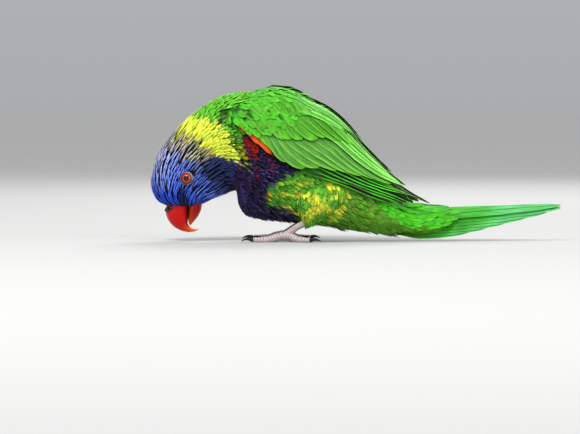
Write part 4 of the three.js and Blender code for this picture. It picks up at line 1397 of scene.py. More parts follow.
@dataclass(frozen=True)
class Tier:
    """A row of feathers on a wing: roots and tips are each a distance from the bend and a share down it."""

    count: int
    roots: tuple[Spot, Spot]
    tips: tuple[Spot, Spot]
    half: Spot
    out: Spot  # millimetres out of the body, at root and tip
    web: Tint
    rim: Tint
    tip: Tint
    streak: Tint = Tint.SHAFT_DARK
    inner: Tint = Tint.WING_DEEP
    root: Tint = Tint.WING_DEEP
    roll: float = 9.0
    rims: float = 0.7
    streaks: float = 0.5
    point: float = 0.62
    rim_from: float = 0.7
    tip_from: float = 0.75
    rings: int = 14


WING_TIERS = {
    "primaries": Tier(
        7, ((42, 0.6), (46, 0.88)), ((134, 0.84), (111, 1.38)), (3.2, 2.4), (1.0, 1.1), Tint.PRIMARY,
        Tint.PRIMARY_EDGE, Tint.PRIMARY, Tint.PRIMARY_SHAFT, Tint.PRIMARY, rims=1.0, rim_from=0.86,
        streaks=0.25, point=0.7, rings=20),
    "secondaries": Tier(
        8, ((13, 0.7), (42, 0.42)), ((45, 0.93), (108, 0.74)), (5.6, 6.0), (1.6, 2.1), Tint.SECONDARY,
        Tint.WING_PALE, Tint.SECONDARY, Tint.WING_DEEP, Tint.SECONDARY_GREY, rim_from=0.86, point=0.72,
        rings=18),
    # Bright green painted as the lit top of the wing, with painted highlights on edges and shafts.
    "tertials": Tier(
        6, ((40, 0.38), (24, 0.08)), ((113, 0.6), (96, 0.08)), (5.0, 5.0), (2.4, 3.0), Tint.TERTIAL_LIT_GREEN,
        Tint.TERTIAL_HIGHLIGHT, Tint.TERTIAL_LIT_GREEN, Tint.TERTIAL_HIGHLIGHT, Tint.WING_GREEN, streaks=0.8, rings=18),
    "underwing": Tier(
        7, ((0, 0.8), (14, 0.9)), ((11, 0.96), (33, 0.955)), (1.9, 1.9), (0.5, 0.9), Tint.UNDERWING,
        Tint.UNDERWING_PALE, Tint.UNDERWING, Tint.UNDERWING_PALE, Tint.UNDERWING, Tint.UNDERWING, 6, rings=8),
    "primary_coverts": Tier(
        8, ((2, 0.6), (14, 0.86)), ((24, 0.76), (46, 0.92)), (2.9, 2.6), (2.4, 2.3), Tint.WING_GREEN,
        Tint.WING_PALE, Tint.ARM_GREEN, inner=Tint.ARM_GREEN, roll=8, rims=0.5, rings=12),
    "greater_coverts": Tier(
        9, ((8, 0.62), (42, 0.2)), ((27, 0.8), (76, 0.4)), (5.4, 5.8), (2.6, 3.6), Tint.WING_GREEN,
        Tint.WING_PALE, Tint.WING_GREEN, inner=Tint.COVERT_INNER, rims=0.6, rim_from=0.86, streaks=0.35,
        point=0.66, rings=12),
    "median_coverts": Tier(
        8, ((6, 0.5), (34, 0.1)), ((19, 0.66), (56, 0.26)), (4.4, 4.8), (3.0, 4.2), Tint.WING_GREEN,
        Tint.WING_PALE, Tint.ARM_GREEN, inner=Tint.COVERT_INNER, roll=8, streaks=0.3, rings=10),
    # Bright green painted as the lit top of the wing, with painted highlights on edges and shafts.
    "scapulars": Tier(
        6, ((20, 0.32), (16, 0.06)), ((66, 0.3), (76, 0.07)), (4.2, 4.0), (3.4, 4.3), Tint.TERTIAL_LIT_GREEN,
        Tint.TERTIAL_HIGHLIGHT, Tint.WING_GREEN, Tint.TERTIAL_HIGHLIGHT, Tint.ARM_GREEN, roll=7, rims=0.5, streaks=0.7,
        rings=14),
}


@dataclass
class Wing:
    """A folded wing: flight feathers in tiers, coverts over them and small scale-like feathers on the arm."""

    side: int
    scale_half: float = 2.0  # half the width of the arm's small feathers
    drape_half: float = 2.0  # and of the mantle feathers over the wing's top edge
    under_half: float = 2.2  # and of those that close the slot between the wings
    drape_gap: float = 2.1  # millimetres between the roots of the first of these
    under_gap: float = 2.8  # and between those of the second
    arm_low: float = 0.86  # share down the wing where the arm's flesh ends
    arm_rings: int = 24
    arm_sides: int = 24
    form: WingForm = field(init=False)

    def __post_init__(self) -> None:
        """Makes the wing's surface."""
        self.form = WingForm(self.side)

    def tier(self, plan: Tier, seed: int) -> Feathers:
        """One row of feathers.

        Args:
            plan: The row.
            seed: Seed of the random draw.

        Returns:
            The feathers.
        """
        random = np.random.default_rng(seed)
        share = np.linspace(0, 1, plan.count)[:, None]
        root, tip = (np.array(first) + share * (np.array(last) - first)
                     for first, last in (plan.roots, plan.tips))
        tip += random.normal(size=tip.shape) * (1.3, 0.012)
        k = np.linspace(0, 1, plan.rings)[None]
        t = root[:, :1] + k * (tip - root)[:, :1]
        q = root[:, 1:] + k * (tip - root)[:, 1:]
        lift = 0.15 * random.normal(size=(plan.count, 1))
        out = plan.out[0] + (plan.out[1] - plan.out[0]) * smooth(k, 0, 0.5) + lift * k
        half = plan.half[0] + share[:, 0] * (plan.half[1] - plan.half[0])
        half = half * (1 + 0.05 * random.normal(size=plan.count))
        paint = Paint.plain(plan.count, plan.web, plan.tip, plan.rim, plan.root, plan.streak, plan.streaks,
                            plan.inner, rims=plan.rims, rim_from=plan.rim_from, tip_from=plan.tip_from)
        roll = math.radians(plan.roll) * (1 if self.side == LEFT else -1)
        return Feathers(self.form.point(t, q, out), self.form.normal(t, q), half, paint,
                        self.form.layout(t[:, 0], q[:, 0]), columns=3, thickness=0.3, camber=0.07, roll=roll,
                        point=plan.point, tip_width=0.14, ragged=0.015, shade=0.07, seed=seed)

    @staticmethod
    def top(t: Array) -> Array:
        """The share down the wing where its top edge lies, which starts low at the bend."""
        return 0.4 - 0.38 * smooth(t, -4, 24)

    @staticmethod
    def thickness(t: Array, q: Array) -> Array:
        """How thick the arm is."""
        return 0.9 + 2.8 * smooth(t, -5, 6) * (1 - smooth(t, 26, 60)) * (1 - 0.45 * smooth(q, 0.6, 1))

    def mantle_feathers(self, t: Array, q: Array, lines: Sequence[Array], half: float, seed: int) -> Feathers:
        """Long soft feathers of the mantle.

        Args:
            t: Their roots' distance from the bend.
            q: Their roots' share down the wing.
            lines: Their centre lines and normals.
            half: Half their width.
            seed: Seed of the small differences between them.

        Returns:
            The feathers.
        """
        paint = Paint.plain(len(t), Tint.MANTLE, Tint.MANTLE_PALE, Tint.MANTLE_DARK, Tint.MANTLE_DARK,
                            Tint.MANTLE_DARK, 0.4)
        place = self.form.layout(t, q)
        return Feathers(*lines, np.full(len(t), half), paint, place, seed=seed, **MANTLE_FEATHER)

    def drape(self, seed: int) -> Feathers:
        """The mantle's outermost feathers, which rise from the back and lie over the wing's top edge.

        Args:
            seed: Seed of the random draw.

        Returns:
            The feathers.
        """
        random = np.random.default_rng(seed)

        def spacing(t: Array, q: Array) -> Array:
            """Millimetres between roots, in a band along the top edge."""
            ahead = q - self.top(t)
            return np.where((ahead > -0.13) & (ahead < 0.0), self.drape_gap, -1.0)

        t, q = scatter(self.form, (-9, 52), (-0.12, 0.42), spacing, seed)
        count = len(t)
        ahead = q - self.top(t)
        length = (11 - 14 * ahead) * (1 + 0.1 * random.normal(size=count))
        flow = 0.35 - 1.4 * ahead + 0.1 * random.normal(size=count)
        rise = self.thickness(t + 6, q) + 1.0 + 0.3 * random.normal(size=count)
        lines = grow(self.form, t, q, length, flow, (np.full(count, -1.6), rise), 8)[:2]
        return self.mantle_feathers(t, q, lines, self.drape_half, seed)

    def under(self, seed: int) -> Feathers:
        """The back's long feathers, which rise to the wing's top edge and close the slot between the wings.

        Args:
            seed: Seed of the random draw.

        Returns:
            The feathers.
        """
        t, q = scatter(self.form, (-1, 62), (-0.05, 0.36), lambda t, q: self.under_gap + 0 * t, seed)
        random = np.random.default_rng(seed)
        count = len(t)
        length = 13 + 1.5 * random.normal(size=count)
        rise = -0.9 + 0.25 * random.normal(size=count)
        flow = 0.1 * random.normal(size=count)
        lines = grow(self.form, t, q, length, flow, (rise - 1.4, rise), 7)[:2]
        return self.mantle_feathers(t, q, lines, self.under_half, seed)

    def scales(self, seed: int) -> Feathers:
        """The small feathers of the arm, which lie like scales.

        Args:
            seed: Seed of the random draw.

        Returns:
            The feathers.
        """
        random = np.random.default_rng(seed)

        def spacing(t: Array, q: Array) -> Array:
            """Millimetres between roots, from the top edge down to the coverts."""
            lower = 0.86 - 0.56 * smooth(t, 10, 44)
            return np.where((q > self.top(t)) & (q < lower), 2.3 + 0.02 * t, -1.0)

        t, q = scatter(self.form, (-3, 40), (0.02, 1.0), spacing, seed)
        count = len(t)
        length = (8.0 + 0.06 * t) * (1 + 0.1 * random.normal(size=count))
        flow = 0.3 + 0.1 * random.normal(size=count)
        thick = self.thickness(t, q)
        rise = thick + 1.2 + 0.25 * random.normal(size=count)
        centre, normal, _ = grow(self.form, t, q, length, flow, (thick - 0.6, rise), 8)
        paint = Paint.plain(count, Tint.ARM_GREEN, Tint.WING_GREEN, Tint.WING_PALE, Tint.WING_DEEP,
                            Tint.WING_DEEP, 0.25, Tint.ARM_GREEN, rims=0.4, tip_from=0.75)
        dark = random.uniform(size=count) < 0.1
        paint.web[dark] = Tint.WING_DEEP.rgb
        return Feathers(centre, normal, np.full(count, self.scale_half), paint, self.form.layout(t, q),
                        columns=2, thickness=0.24, point=0.4, tip_width=0.15, ragged=0.05, shade=0.13,
                        seed=seed)

    def arm(self) -> Tubes:
        """The flesh of the arm under its feathers.

        Returns:
            One flattened closed tube.
        """
        t, turn = crossed(np.linspace(-1.5, 46, self.arm_rings), once_round(self.arm_sides))
        top = self.top(t) + 0.02
        q = (top + self.arm_low) / 2 + (self.arm_low - top) / 2 * np.cos(turn)
        thick = (0.5 + 2.4 * between(t, (-5, 6), (22, 46))) * (0.5 + 0.5 * np.sin(turn))
        points = self.form.point(t, q, 0.3 + thick)
        if self.side == RIGHT:
            points = points[:, ::-1]
        return Tubes.single(points, Tint.WING_DEEP.rgb, self.form.layout(t, q))

    def make(self, plumage: Material, word: str) -> None:
        """Builds the wing's pieces.

        Args:
            plumage: The feathers' material.
            word: The side's name.
        """
        base = 100 if self.side == LEFT else 200
        tiers = [self.tier(plan, base + i) for i, plan in enumerate(WING_TIERS.values())]
        dress(blades(f"wing_feathers_{word}", *tiers), plumage, "wing_plumage", f"wing_{word}")
        dress(sections_mesh(f"wing_arm_{word}", [self.arm()]), plumage, "wing_plumage")
        dress(blades(f"wing_scales_{word}", self.scales(base + 40)), plumage, "wing_plumage")
        back = blades(f"back_feathers_{word}", self.under(base + 41), self.drape(base + 42))
        dress(back, plumage, "body_plumage")


@dataclass
class Tail:
    """Twelve long feathers, stacked with the middle pair on top, and the coverts round their roots."""

    start: Point = (72.0, 0.0, 13.2)
    tip: Point = (168.0, 0.0, 21.1)
    lengths: tuple[float, ...] = (96, 87, 75, 63, 52, 42)
    tips: tuple[float, ...] = (0.7, 2.4, 4.2, 5.8, 7.2, 8.2)
    half: float = 4.7
    layer: float = 0.95  # from one feather to the one under it
    feather_roll: float = 8.0  # degrees by which each feather leans outward
    feather_rings: int = 24
    root_rings: int = 24
    root_sides: int = 32
    form: TailForm = field(default_factory=TailForm)

    def long_feathers(self) -> Feathers:
        """The long feathers.

        Returns:
            The feathers, in pairs from the middle out.
        """
        roll = math.radians(TAIL_ROLL)
        top = np.array([0.0, -math.sin(roll), math.cos(roll)])
        right = np.array([0.0, math.cos(roll), math.sin(roll)])
        start = np.array(self.start)
        axis = unit(np.array(self.tip) - start)
        k = np.linspace(0, 1, self.feather_rings)[:, None]
        lines, sides = [], []
        for i, (length, reach) in enumerate(zip(self.lengths, self.tips)):
            for side in (LEFT, RIGHT):
                depth = -self.layer * i + (self.layer if i == 0 and side == RIGHT else 0)
                root = start - 6 * axis + side * (0.8 + self.layer * i) * right + depth * top
                end = start + length * axis + side * reach * right + depth * top
                bow = side * 0.03 * length * i / 5
                lines.append(root + (end - root) * k + right * (bow * np.sin(math.pi * k)))
                sides.append(side)
        centre = np.array(lines)
        count = len(lines)
        paint = Paint.plain(count, Tint.TAIL_GREEN, Tint.TAIL_TIP, Tint.VENT_GREEN, Tint.VENT_GREEN,
                            Tint.SHAFT_DARK, 0.8, Tint.TAIL_GREEN, rims=0.3, rim_from=0.8, tip_from=0.5)
        place = laid_out(np.arange(count) / count, 0.0, (0.08, 0.8), (0.84, 0.0))
        return Feathers(centre, np.broadcast_to(top, centre.shape), np.full(count, self.half), paint, place,
                        columns=3, thickness=0.34, camber=0.05, point=0.42, tip_width=0.14, ragged=0.012,
                        roll=np.radians(self.feather_roll) * np.array(sides), shade=0.05, seed=301)

    def coverts(self) -> Feathers:
        """The smaller feathers round the tail's root.

        Returns:
            The feathers.
        """
        x, turn = scatter(self.form, (50, 84), (-math.pi, math.pi), lambda x, _: 2.4 + 0.03 * (x - 50), 303)
        random = np.random.default_rng(304)
        count = len(x)
        length = (10 + 0.3 * (x - 50)) * (1 + 0.1 * random.normal(size=count))
        rise = 0.7 + 0.9 * np.clip(np.cos(turn), 0, 1) + 0.25 * random.normal(size=count)
        flow = 0.06 * random.normal(size=count)
        centre, normal, _ = grow(self.form, x, turn, length, flow, (np.full(count, -1.6), rise), 8)
        low = (1 - np.cos(turn)) / 2
        paint = Paint.plain(count, Tint.VENT_OLIVE, Tint.VENT_GREEN, Tint.FLANK_DARK, Tint.FLANK_DARK,
                            Tint.FLANK_DARK, 0.5)
        paint.cover(smooth(-low, -0.42, -0.34), Tint.MANTLE, Tint.ARM_GREEN, Tint.MANTLE_DARK,
                    Tint.MANTLE_DARK, 0.4)
        yellow = smooth(low, 0.8, 0.95) * (random.uniform(size=count) < 0.4)
        paint.cover(yellow, Tint.FLANK_YELLOW, Tint.VENT_OLIVE, Tint.FLANK_DARK)
        return Feathers(centre, normal, 1.9 + 0.02 * (x - 50), paint, self.form.layout(x, turn), columns=2,
                        thickness=0.22, camber=0.1, point=0.35, ragged=0.05, shade=0.12, seed=305)

    def root_tube(self) -> Tubes:
        """The flesh of the tail's root.

        Returns:
            One closed tube.
        """
        x, turn = crossed(np.linspace(48, 90, self.root_rings), once_round(self.root_sides, -math.pi))
        return Tubes.single(self.form.point(x, turn, -1.5), Tint.FLANK_DARK.rgb, self.form.layout(x, turn))

    def make(self, plumage: Material) -> None:
        """Builds the tail's pieces.

        Args:
            plumage: The feathers' material.
        """
        dress(blades("tail_feathers", self.long_feathers()), plumage, "tail_plumage", "tail")
        dress(sections_mesh("tail_root", [self.root_tube()]), plumage, "tail_plumage")
        dress(blades("tail_coverts", self.coverts()), plumage, "tail_plumage")


@dataclass
class Bill:
    """The two halves of the bill, the cere at its base and the nostrils."""

    upper: Array = field(default_factory=lambda: np.array([
        [-76.2, 23.6, -62.4, 26.4, 7.0],
        [-77.1, 18.2, -62.9, 21.6, 7.0],
        [-75.4, 13.0, -63.0, 17.6, 6.2],
        [-72.2, 9.1, -63.2, 14.2, 5.0],
        [-67.8, 6.6, -63.3, 10.9, 3.6],
        [-63.2, 5.5, -61.6, 8.5, 2.2],
        [-59.6, 5.8, -58.9, 7.5, 1.1],
        [-56.9, 6.9, -56.8, 7.4, 0.4],
    ]))
    lower: Array = field(default_factory=lambda: np.array([
        [-54.4, 26.4, -62.7, 27.4, 6.2],
        [-54.6, 22.4, -62.9, 22.6, 6.0],
        [-55.4, 18.6, -63.1, 18.8, 5.2],
        [-57.6, 14.6, -63.3, 15.6, 4.0],
        [-60.4, 11.2, -63.0, 12.6, 2.2],
        [-61.9, 9.6, -62.6, 10.7, 0.9],
    ]))
    sides: int = 48
    rings: int = 60
    cere_middle: Point = (-72.8, 0.0, 21.0)
    cere_reach: Point = (5.4, 4.4, 2.3)  # half the size of each of its swellings
    cere_side: Point = (0.4, 3.0, 0.0)  # how far the outer ones are moved
    cere_lean: Array = field(default_factory=lambda: np.array([
        [0.9, 0.0, 0.43], [0.0, 1.0, 0.0], [-0.43, 0.0, 0.9],
    ]))
    nostril: Point = (-75.2, 6.9, 20.2)
    nostril_depth: float = 1.5
    cere_grid: int = 40

    def half(self, stations: Array, paint: Callable[[Array, Array], Array]) -> Tubes:
        """One half of the bill as a closed tube.

        Args:
            stations: Outer point, inner point and half width.
            paint: Gives colours for shares along (0 at the base) and across (0 outside, 1 inside).

        Returns:
            The tube.
        """
        table = np.column_stack([np.arange(len(stations)), stations])
        k = np.linspace(0, len(stations) - 1, self.rings)
        _, out_x, out_z, in_x, in_z, half = rows_at(table, k).T
        turn = once_round(self.sides)
        share = 0.5 - 0.5 * np.cos(turn)
        swell = np.sin(turn) * (1 + 0.25 * share)
        x = out_x[:, None] + (in_x - out_x)[:, None] * share
        z = out_z[:, None] + (in_z - out_z)[:, None] * share
        points = np.stack([x, half[:, None] * swell, z], -1)
        along, across = crossed(k / k[-1], share)
        place = laid_out(turn / math.tau, along)
        vane = laid_out(swell, along, (0.0, 0.0), (5.0, 26.0))
        return Tubes.single(points, paint(along, across), place, vane)

    @staticmethod
    def upper_paint(along: Array, across: Array) -> Array:
        """Red that turns orange at the hook, brown along the cutting edge.

        Args:
            along: Shares from the base to the hook.
            across: Shares from the outside to the inside.

        Returns:
            Colours.
        """
        red = np.broadcast_to(Tint.BILL_RED.rgb, along.shape + (3,))
        colour = mixed(red, Tint.BILL_ORANGE.rgb, 0.9 * smooth(along + 0.06 * across, 0.5, 0.95))
        gape = 0.7 * smooth(across, 0.8, 0.95) * (1 - smooth(along, 0.5, 0.7))
        return mixed(colour, Tint.BILL_GAPE.rgb, gape)

    @staticmethod
    def lower_paint(along: Array, across: Array) -> Array:
        """Darker red with an orange edge, brown where it meets the upper half.

        Args:
            along: Shares from the base to the tip.
            across: Shares from the outside to the inside.

        Returns:
            Colours.
        """
        red = np.broadcast_to(Tint.BILL_RED.rgb * 0.65, along.shape + (3,))
        orange = 0.5 * smooth(along, 0.4, 1.0) + 0.3 * smooth(across, 0.5, 0.8)
        colour = mixed(red, Tint.BILL_ORANGE.rgb, orange)
        return mixed(colour, Tint.BILL_GAPE.rgb, 0.8 * smooth(across, 0.86, 0.97))

    def cere(self) -> list[Tubes]:
        """A soft band of three swellings over the bill's base, with a nostril sunk in each outer one, its
        hole painted black as shade.

        Returns:
            A closed tube for each swelling.
        """
        tubes = []
        tilts = np.linspace(0.02, math.pi - 0.02, self.cere_grid)
        tilt, turn = crossed(tilts, once_round(self.cere_grid))
        direction = np.stack([np.sin(tilt) * np.cos(turn), -np.cos(tilt), np.sin(tilt) * np.sin(turn)], -1)
        swelling = direction * self.cere_reach @ self.cere_lean
        for side in (LEFT, 0, RIGHT):
            mirror = np.array([abs(side), side, abs(side)])
            points = self.cere_middle + mirror * self.cere_side + swelling
            hole = np.array(self.nostril) * (1, side, 1)
            away = np.linalg.norm(points - hole, axis=-1) + (9.0 if side == 0 else 0.0)
            points[..., 1] -= side * self.nostril_depth * (1 - smooth(away, 0.5, 1.3))
            mottle = blotches(points, (1.2, 1.2, 1.2), 9)
            colours = mixed(Tint.CERE.rgb + 0 * points, Tint.CERE_PALE.rgb, 0.7 * smooth(mottle, 0.45, 0.8))
            # Painted shade: the nostril's hole is painted black.
            colours = mixed(colours, Tint.PUPIL.rgb, 1 - smooth(away, 0.6, 1.3))
            corner = 0.03 + 0.33 * (1 + side)
            place = laid_out(turn / math.tau, tilt / math.pi, (corner, 0.1), (0.27, 0.8))
            tubes.append(Tubes.single(points, colours, place))
        return tubes

    def make(self, horn: Material, skin: Material) -> None:
        """Builds the bill's pieces.

        Args:
            horn: Material of the bill.
            skin: Material of the cere.
        """
        upper = sections_mesh("upper_bill_horn", [self.half(self.upper, self.upper_paint)])
        dress(upper, horn, "bill", "upper_bill")
        lower = sections_mesh("lower_bill_horn", [self.half(self.lower, self.lower_paint)])
        dress(lower, horn, "bill", "lower_bill")
        dress(sections_mesh("cere", self.cere()), skin, "head_plumage")


@dataclass
class Eye:
    """An eyeball with its iris, and the ring of lids round it."""

    side: int
    centre: Array
    radius: float = 4.1
    pupil: float = 1.7
    iris: float = 2.9
    opening: float = 3.1
    lid_half: Spot = (0.72, 0.62)  # half the lids' thickness, away from the opening and out of it
    lid_depth: float = 2.5  # how far out of the eyeball's middle the lids lie
    beads: int = 15
    ball_rings: int = 56
    ball_sides: int = 48
    lid_rings: int = 96
    lid_sides: int = 16

    def around(self, radius: Array, depth: Array, turn: Array) -> Array:
        """Points round the eye's own axis, which points sideways and a little forward.

        Args:
            radius: Distance from the axis.
            depth: Distance out from the middle of the eyeball.
            turn: Turn round the axis.

        Returns:
            The points.
        """
        axis = unit(np.array([-0.16, self.side, 0.05]))
        up = unit(np.cross(axis, np.array([1.0, 0.0, 0.0])))
        across = np.cross(up, axis)
        ring = np.cos(turn)[..., None] * across + np.sin(turn)[..., None] * up
        return self.centre + radius[..., None] * ring + depth[..., None] * axis

    def ball(self) -> Tubes:
        """The eyeball, painted in rings.

        Returns:
            One closed tube round the eye's axis.
        """
        tilts = np.linspace(0.015, math.pi - 0.015, self.ball_rings)
        tilt, turn = crossed(tilts, once_round(self.ball_sides) * self.side)
        reach = self.radius * np.sin(tilt)
        points = self.around(reach, self.radius * np.cos(tilt), turn)
        colours = Tint.PUPIL.rgb + 0 * points
        colours = mixed(colours, Tint.IRIS_RED.rgb, smooth(reach, self.pupil, self.pupil + 0.25))
        colours = mixed(colours, Tint.IRIS_DARK.rgb, smooth(reach, self.iris - 0.7, self.iris))
        colours = mixed(colours, Tint.PUPIL.rgb, smooth(reach, self.iris - 0.1, self.iris + 0.15))
        colours = np.where((tilt < math.pi / 2)[..., None], colours, Tint.PUPIL.rgb)
        return Tubes.single(points, colours, laid_out(np.abs(turn) / math.tau, tilt / math.pi))

    def lids(self) -> Tubes:
        """The bare ring of lids, a beaded band that narrows to the eyeball, painted black as shade in the
        crease against the eyeball.

        Returns:
            One closed tube round the opening.
        """
        turn, roll = crossed(np.linspace(0, math.tau, self.lid_rings), once_round(self.lid_sides))
        bead = np.sin(self.beads * turn) * smooth(np.cos(roll), -0.2, 0.6)
        swell = 1 + 0.14 * bead
        reach = self.opening + 0.35 + self.lid_half[0] * np.cos(roll) * swell
        depth = self.lid_depth + self.lid_half[1] * np.sin(roll) * swell - 0.35 * np.cos(roll)
        points = self.around(reach, depth, turn * self.side)
        pale = 0.6 * smooth(bead, 0.2, 0.9) + 0.4 * smooth(np.cos(turn + math.pi / 4), 0.3, 0.9)
        colours = mixed(Tint.LID_GREY.rgb + 0 * points, Tint.LID_PALE.rgb, pale)
        # Painted shade: black on the lids' side that turns in towards the eyeball.
        colours = mixed(colours, Tint.PUPIL.rgb, smooth(-np.cos(roll), 0.0, 0.8))
        return Tubes.single(points, colours, laid_out(turn / math.tau, roll / math.tau))

    def make(self, wet: Material, skin: Material, word: str) -> None:
        """Builds eyeball and lids, of the side that the word names."""
        dress(sections_mesh(f"eyeball_{word}", [self.ball()]), wet, "eyes", f"eye_{word}")
        dress(sections_mesh(f"eyelids_{word}", [self.lids()]), skin, "head_plumage")


@dataclass(frozen=True)
class Toe:
    """A toe: its heading in degrees from straight ahead, outward positive, its length and its radius."""

    name: str
    heading: float
    length: float
    radius: float


TOES = (
    Toe("inner_front", -15, 15.5, 2.0),
    Toe("outer_front", 13, 20.5, 2.15),
    Toe("outer_hind", 153, 17.5, 2.1),
    Toe("inner_hind", -162, 11.0, 1.8),
)


@dataclass
class Foot:
    """A scaly shank with four toes, two ahead and two behind, and their claws."""

    side: int
    foot: Point = (-3.0, 15.5, 3.6)
    ankle: Point = (11.0, 17.5, 12.4)
    claw_length: float = 7.4
    claw_radius: float = 1.25
    gap: float = 0.3  # from toe to claw
    scute_mm: float = 1.8  # length of a scute
    floor: float = 0.02  # soles and claws are flat at this height
    sides: int = 20
    toe_rings: int = 72
    shank_rings: int = 40
    claw_rings: int = 28

    def direction(self, heading: float) -> Array:
        """A left toe's direction over the floor."""
        turn = math.radians(heading)
        return np.array([-math.cos(turn), -math.sin(turn), 0.0])

    def toe_line(self, toe: Toe, k: Array) -> Array:
        """Points along a left toe.

        Args:
            toe: The toe.
            k: Shares from its root to its claw.

        Returns:
            The points.
        """
        x, y, z = self.foot
        line = np.array([x, -y, 0.0]) + self.direction(toe.heading) * toe.length * k[:, None]
        arch = 0.9 * np.sin(math.pi * np.minimum(1, k / 0.6))
        line[:, 2] = z + (toe.radius * 0.62 - z) * smooth(k, 0, 0.45) + arch
        return line

    def tube(self, line: Array, radius: Array, scutes: float, tint: tuple[Tint, Tint], place: float) -> Tubes:
        """A tube along a line, ringed on top with scutes, darker underneath with painted shade, and flattened
        on the floor.

        Args:
            line: Points along it.
            radius: Radius at each point.
            scutes: How far the scutes stand out, as a share of the radius.
            tint: Colours of the scutes and of the grooves between them, the second also used for the painted
                shade underneath.
            place: Where its strip of the texture layout starts.

        Returns:
            The tube.
        """
        along = unit(np.gradient(line, axis=0))
        side = unit(np.cross(along, np.array([0.0, 0.0, 1.0])))
        up = np.cross(side, along)
        turn = once_round(self.sides)
        distance = np.concatenate([[0], np.cumsum(np.linalg.norm(np.diff(line, axis=0), axis=1))])
        phase = (distance / self.scute_mm) % 1
        groove = 1 - smooth(np.minimum(phase, 1 - phase), 0.0, 0.22)
        top = smooth(np.sin(turn), -0.3, 0.4)
        swell = 1 + scutes * (0.5 - groove[:, None] * top[None])
        ring = np.cos(turn)[None, :, None] * side[:, None] + np.sin(turn)[None, :, None] * up[:, None]
        points = line[:, None] + ring * (radius[:, None] * swell)[..., None]
        points[..., 2] = np.maximum(points[..., 2], self.floor)
        # Painted shade: the lower half of the tube is darkened towards the groove colour.
        under = 0.4 * (1 - top)[None]
        dark = np.clip(groove[:, None] * top[None] * (scutes > 0) + under, 0, 1)
        colours = mixed(tint[0].rgb, tint[1].rgb, dark)
        distance = distance[:, None]
        layout = laid_out(turn / math.tau, distance / distance[-1], (place, 0.05), (0.12, 0.9))
        vane = laid_out(np.cos(turn), distance, (0.0, 0.0), (1.0, 1.0))
        if self.side == RIGHT:
            points, colours, layout, vane = (a[:, ::-1] for a in (points * (1, -1, 1), colours, layout, vane))
        return Tubes.single(points, colours, layout, vane)

    def toe_tube(self, toe: Toe, place: float) -> Tubes:
        """A toe, with three joints that swell a little.

        Args:
            toe: The toe.
            place: Where its strip of the texture layout starts.

        Returns:
            One closed tube.
        """
        k = np.linspace(0, 1.0, self.toe_rings)
        radius = toe.radius * (1.08 - 0.34 * k) * (1 + 0.07 * np.cos(3 * math.tau * k))
        radius = radius * np.sqrt(np.clip(1 - ((k - 0.94) / 0.0601).clip(0) ** 2, 0.02, 1))
        return self.tube(self.toe_line(toe, k), radius, 0.16, (Tint.FOOT_PALE, Tint.FOOT_GROOVE), place)

    def shank_tube(self) -> Tubes:
        """The shank, from under the thigh's feathers to the toes.

        Returns:
            One closed tube.
        """
        ankle = np.array([self.ankle[0], -self.ankle[1], self.ankle[2]])
        foot = np.array([self.foot[0] - 0.4, -self.foot[1], self.foot[2] - 0.2])
        k = np.linspace(-0.25, 1, self.shank_rings)
        line = ankle + (foot - ankle) * k[:, None]
        bow = np.sin(math.pi * np.clip(k, 0, 1))
        line[:, 2] += bow
        radius = 2.25 - 0.35 * bow + 0.25 * smooth(k, 0.8, 1)
        return self.tube(line, radius, 0.12, (Tint.FOOT_PALE, Tint.FOOT_GROOVE), 0.82)

    def claw_tube(self, toe: Toe, place: float) -> Tubes:
        """A claw, hooked down to the floor.

        Args:
            toe: Its toe.
            place: Where its strip of the texture layout starts.

        Returns:
            One closed tube.
        """
        k = np.linspace(0, 1, self.claw_rings)
        end = self.toe_line(toe, np.array([1.0]))[0]
        line = end + self.direction(toe.heading) * (self.gap - 0.5 + self.claw_length * k)[:, None]
        line[:, 2] = end[2] + 0.9 * np.sin(math.pi * k) - (end[2] - 0.75) * k * k
        radius = self.claw_radius + (0.18 - self.claw_radius) * k ** 1.3
        return self.tube(line, radius, 0.0, (Tint.CLAW, Tint.CLAW), place)

    def make(self, skin: Material, horn: Material, word: str) -> None:
        """Builds foot and claws.

        Args:
            skin: Material of the foot.
            horn: Material of the claws.
            word: The side's name.
        """
        tubes = [self.toe_tube(toe, 0.05 + 0.18 * i) for i, toe in enumerate(TOES)]
        foot = sections_mesh(f"foot_scutes_{word}", tubes + [self.shank_tube()])
        dress(foot, skin, "feet", f"foot_{word}")
        for toe in TOES:
            claw = sections_mesh(f"claw_horn_{toe.name}_{word}", [self.claw_tube(toe, 0.1)])
            dress(claw, horn, "claws", f"claw_{toe.name}_{word}")


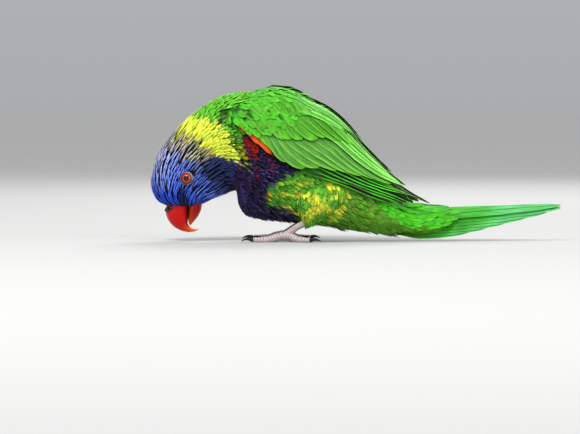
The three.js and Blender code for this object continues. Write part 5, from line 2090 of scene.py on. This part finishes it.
@dataclass
class Studio:
    """Plain pale floor, soft light and the camera at the photograph's viewing angle."""

    paper: str = "#c2c2c0"  # matte grey paper
    sky: str = "#fcfdff"  # a nearly white room
    elevation: float = 2.0  # degrees above level
    distance_mm: float = 2000.0
    floor_mm: float = 60000.0
    lit: Point = (-0.04, 0.0, 0.05)  # the place in metres that the lamps face
    lamps: tuple[tuple[str, Point, float, float], ...] = (  # name, place and width in metres, watts
        ("key", (-0.5, -0.9, 1.3), 0.6, 19.0),
        ("fill", (0.9, -1.0, 0.5), 1.0, 5.5),
        ("rim", (0.3, 1.1, 1.0), 0.8, 9.0),
    )

    def camera(self) -> None:
        """Places the camera so that the bird falls where it does in the photograph."""
        aim = np.array([(PHOTO_WIDTH / 2 - PHOTO_FEET_COLUMN) * PHOTO_MM_PER_PIXEL, 0.0,
                        (PHOTO_FLOOR_ROW - PHOTO_HEIGHT / 2) * PHOTO_MM_PER_PIXEL])
        turn = math.radians(self.elevation)
        back = np.array([0.0, -math.cos(turn), math.sin(turn)])
        data = bpy.data.cameras.new("camera")
        data.angle = 2 * math.atan(PHOTO_WIDTH * PHOTO_MM_PER_PIXEL / 2 / self.distance_mm)
        data.clip_start = 0.05
        data.clip_end = 50.0
        camera = stand("camera", data)
        camera.location = Vector((aim + back * self.distance_mm - ORIGIN_FROM_FEET) * MM)
        camera.rotation_euler = Vector(-back).to_track_quat("-Z", "Y").to_euler()
        bpy.context.scene.camera = camera

    def light(self, name: str, place: Point, size: float, power: float) -> None:
        """Adds a soft area light that faces the bird.

        Args:
            name: Its name.
            place: Where it stands, in metres.
            size: Its width in metres.
            power: Its power in watts.
        """
        data = bpy.data.lights.new(name, "AREA")
        data.shape = "DISK"
        data.size = size
        data.energy = power
        lamp = stand(name, data)
        lamp.location = Vector(place)
        lamp.rotation_euler = (Vector(self.lit) - Vector(place)).to_track_quat("-Z", "Y").to_euler()

    def make(self) -> None:
        """Builds floor, lights, world and camera."""
        half = self.floor_mm * MM / 2
        mesh = bpy.data.meshes.new("floor")
        corners = [(-half, -half, 0), (half, -half, 0), (half, half, 0), (-half, half, 0)]
        mesh.from_pydata(corners, [], [(0, 1, 2, 3)])
        floor = stand("floor", mesh)
        colour = (*linear(self.paper), 1.0)
        paper, _, _ = new_material("floor_paper", {"Base Color": colour, "Roughness": 0.9})
        mesh.materials.append(paper)
        world = bpy.data.worlds.new("studio")
        world.use_nodes = True
        tree = world.node_tree
        place = add_node(tree, "TexCoord")
        parts = add_node(tree, "SeparateXYZ", links={0: place.outputs["Generated"]})
        rise = add_node(tree, "MapRange", {
            "From Min": 0.0, "From Max": 0.5, "To Min": 0.42, "To Max": 0.75}, {"Value": parts.outputs[2]})
        background = tree.nodes["Background"]
        background.inputs[0].default_value = (*linear(self.sky), 1.0)
        tree.links.new(rise.outputs[0], background.inputs[1])
        bpy.context.scene.world = world
        for lamp in self.lamps:
            self.light(*lamp)
        bpy.context.scene.view_settings.view_transform = "Standard"
        self.camera()


def main() -> None:
    """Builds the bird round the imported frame."""
    logging.basicConfig(level=logging.INFO, format="%(message)s")
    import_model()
    fine = Plumage("fine_feather_keratin", shaft_mm=0.3).make()
    plumage = Plumage("feather_keratin", shaft_mm=0.22).make()
    horn = Horn("polished_horn").make()
    skin = BareSkin("pebbled_skin").make()
    wet = WetEye().make()
    Coat(middle("eye_left")).make(fine, plumage)
    for side, word in SIDES:
        Wing(side).make(plumage, word)
        Eye(side, middle(f"eye_{word}")).make(wet, skin, word)
        Foot(side).make(skin, horn, word)
    Tail().make(plumage)
    Bill().make(horn, skin)
    Studio().make()


if __name__ == "__main__":
    main()
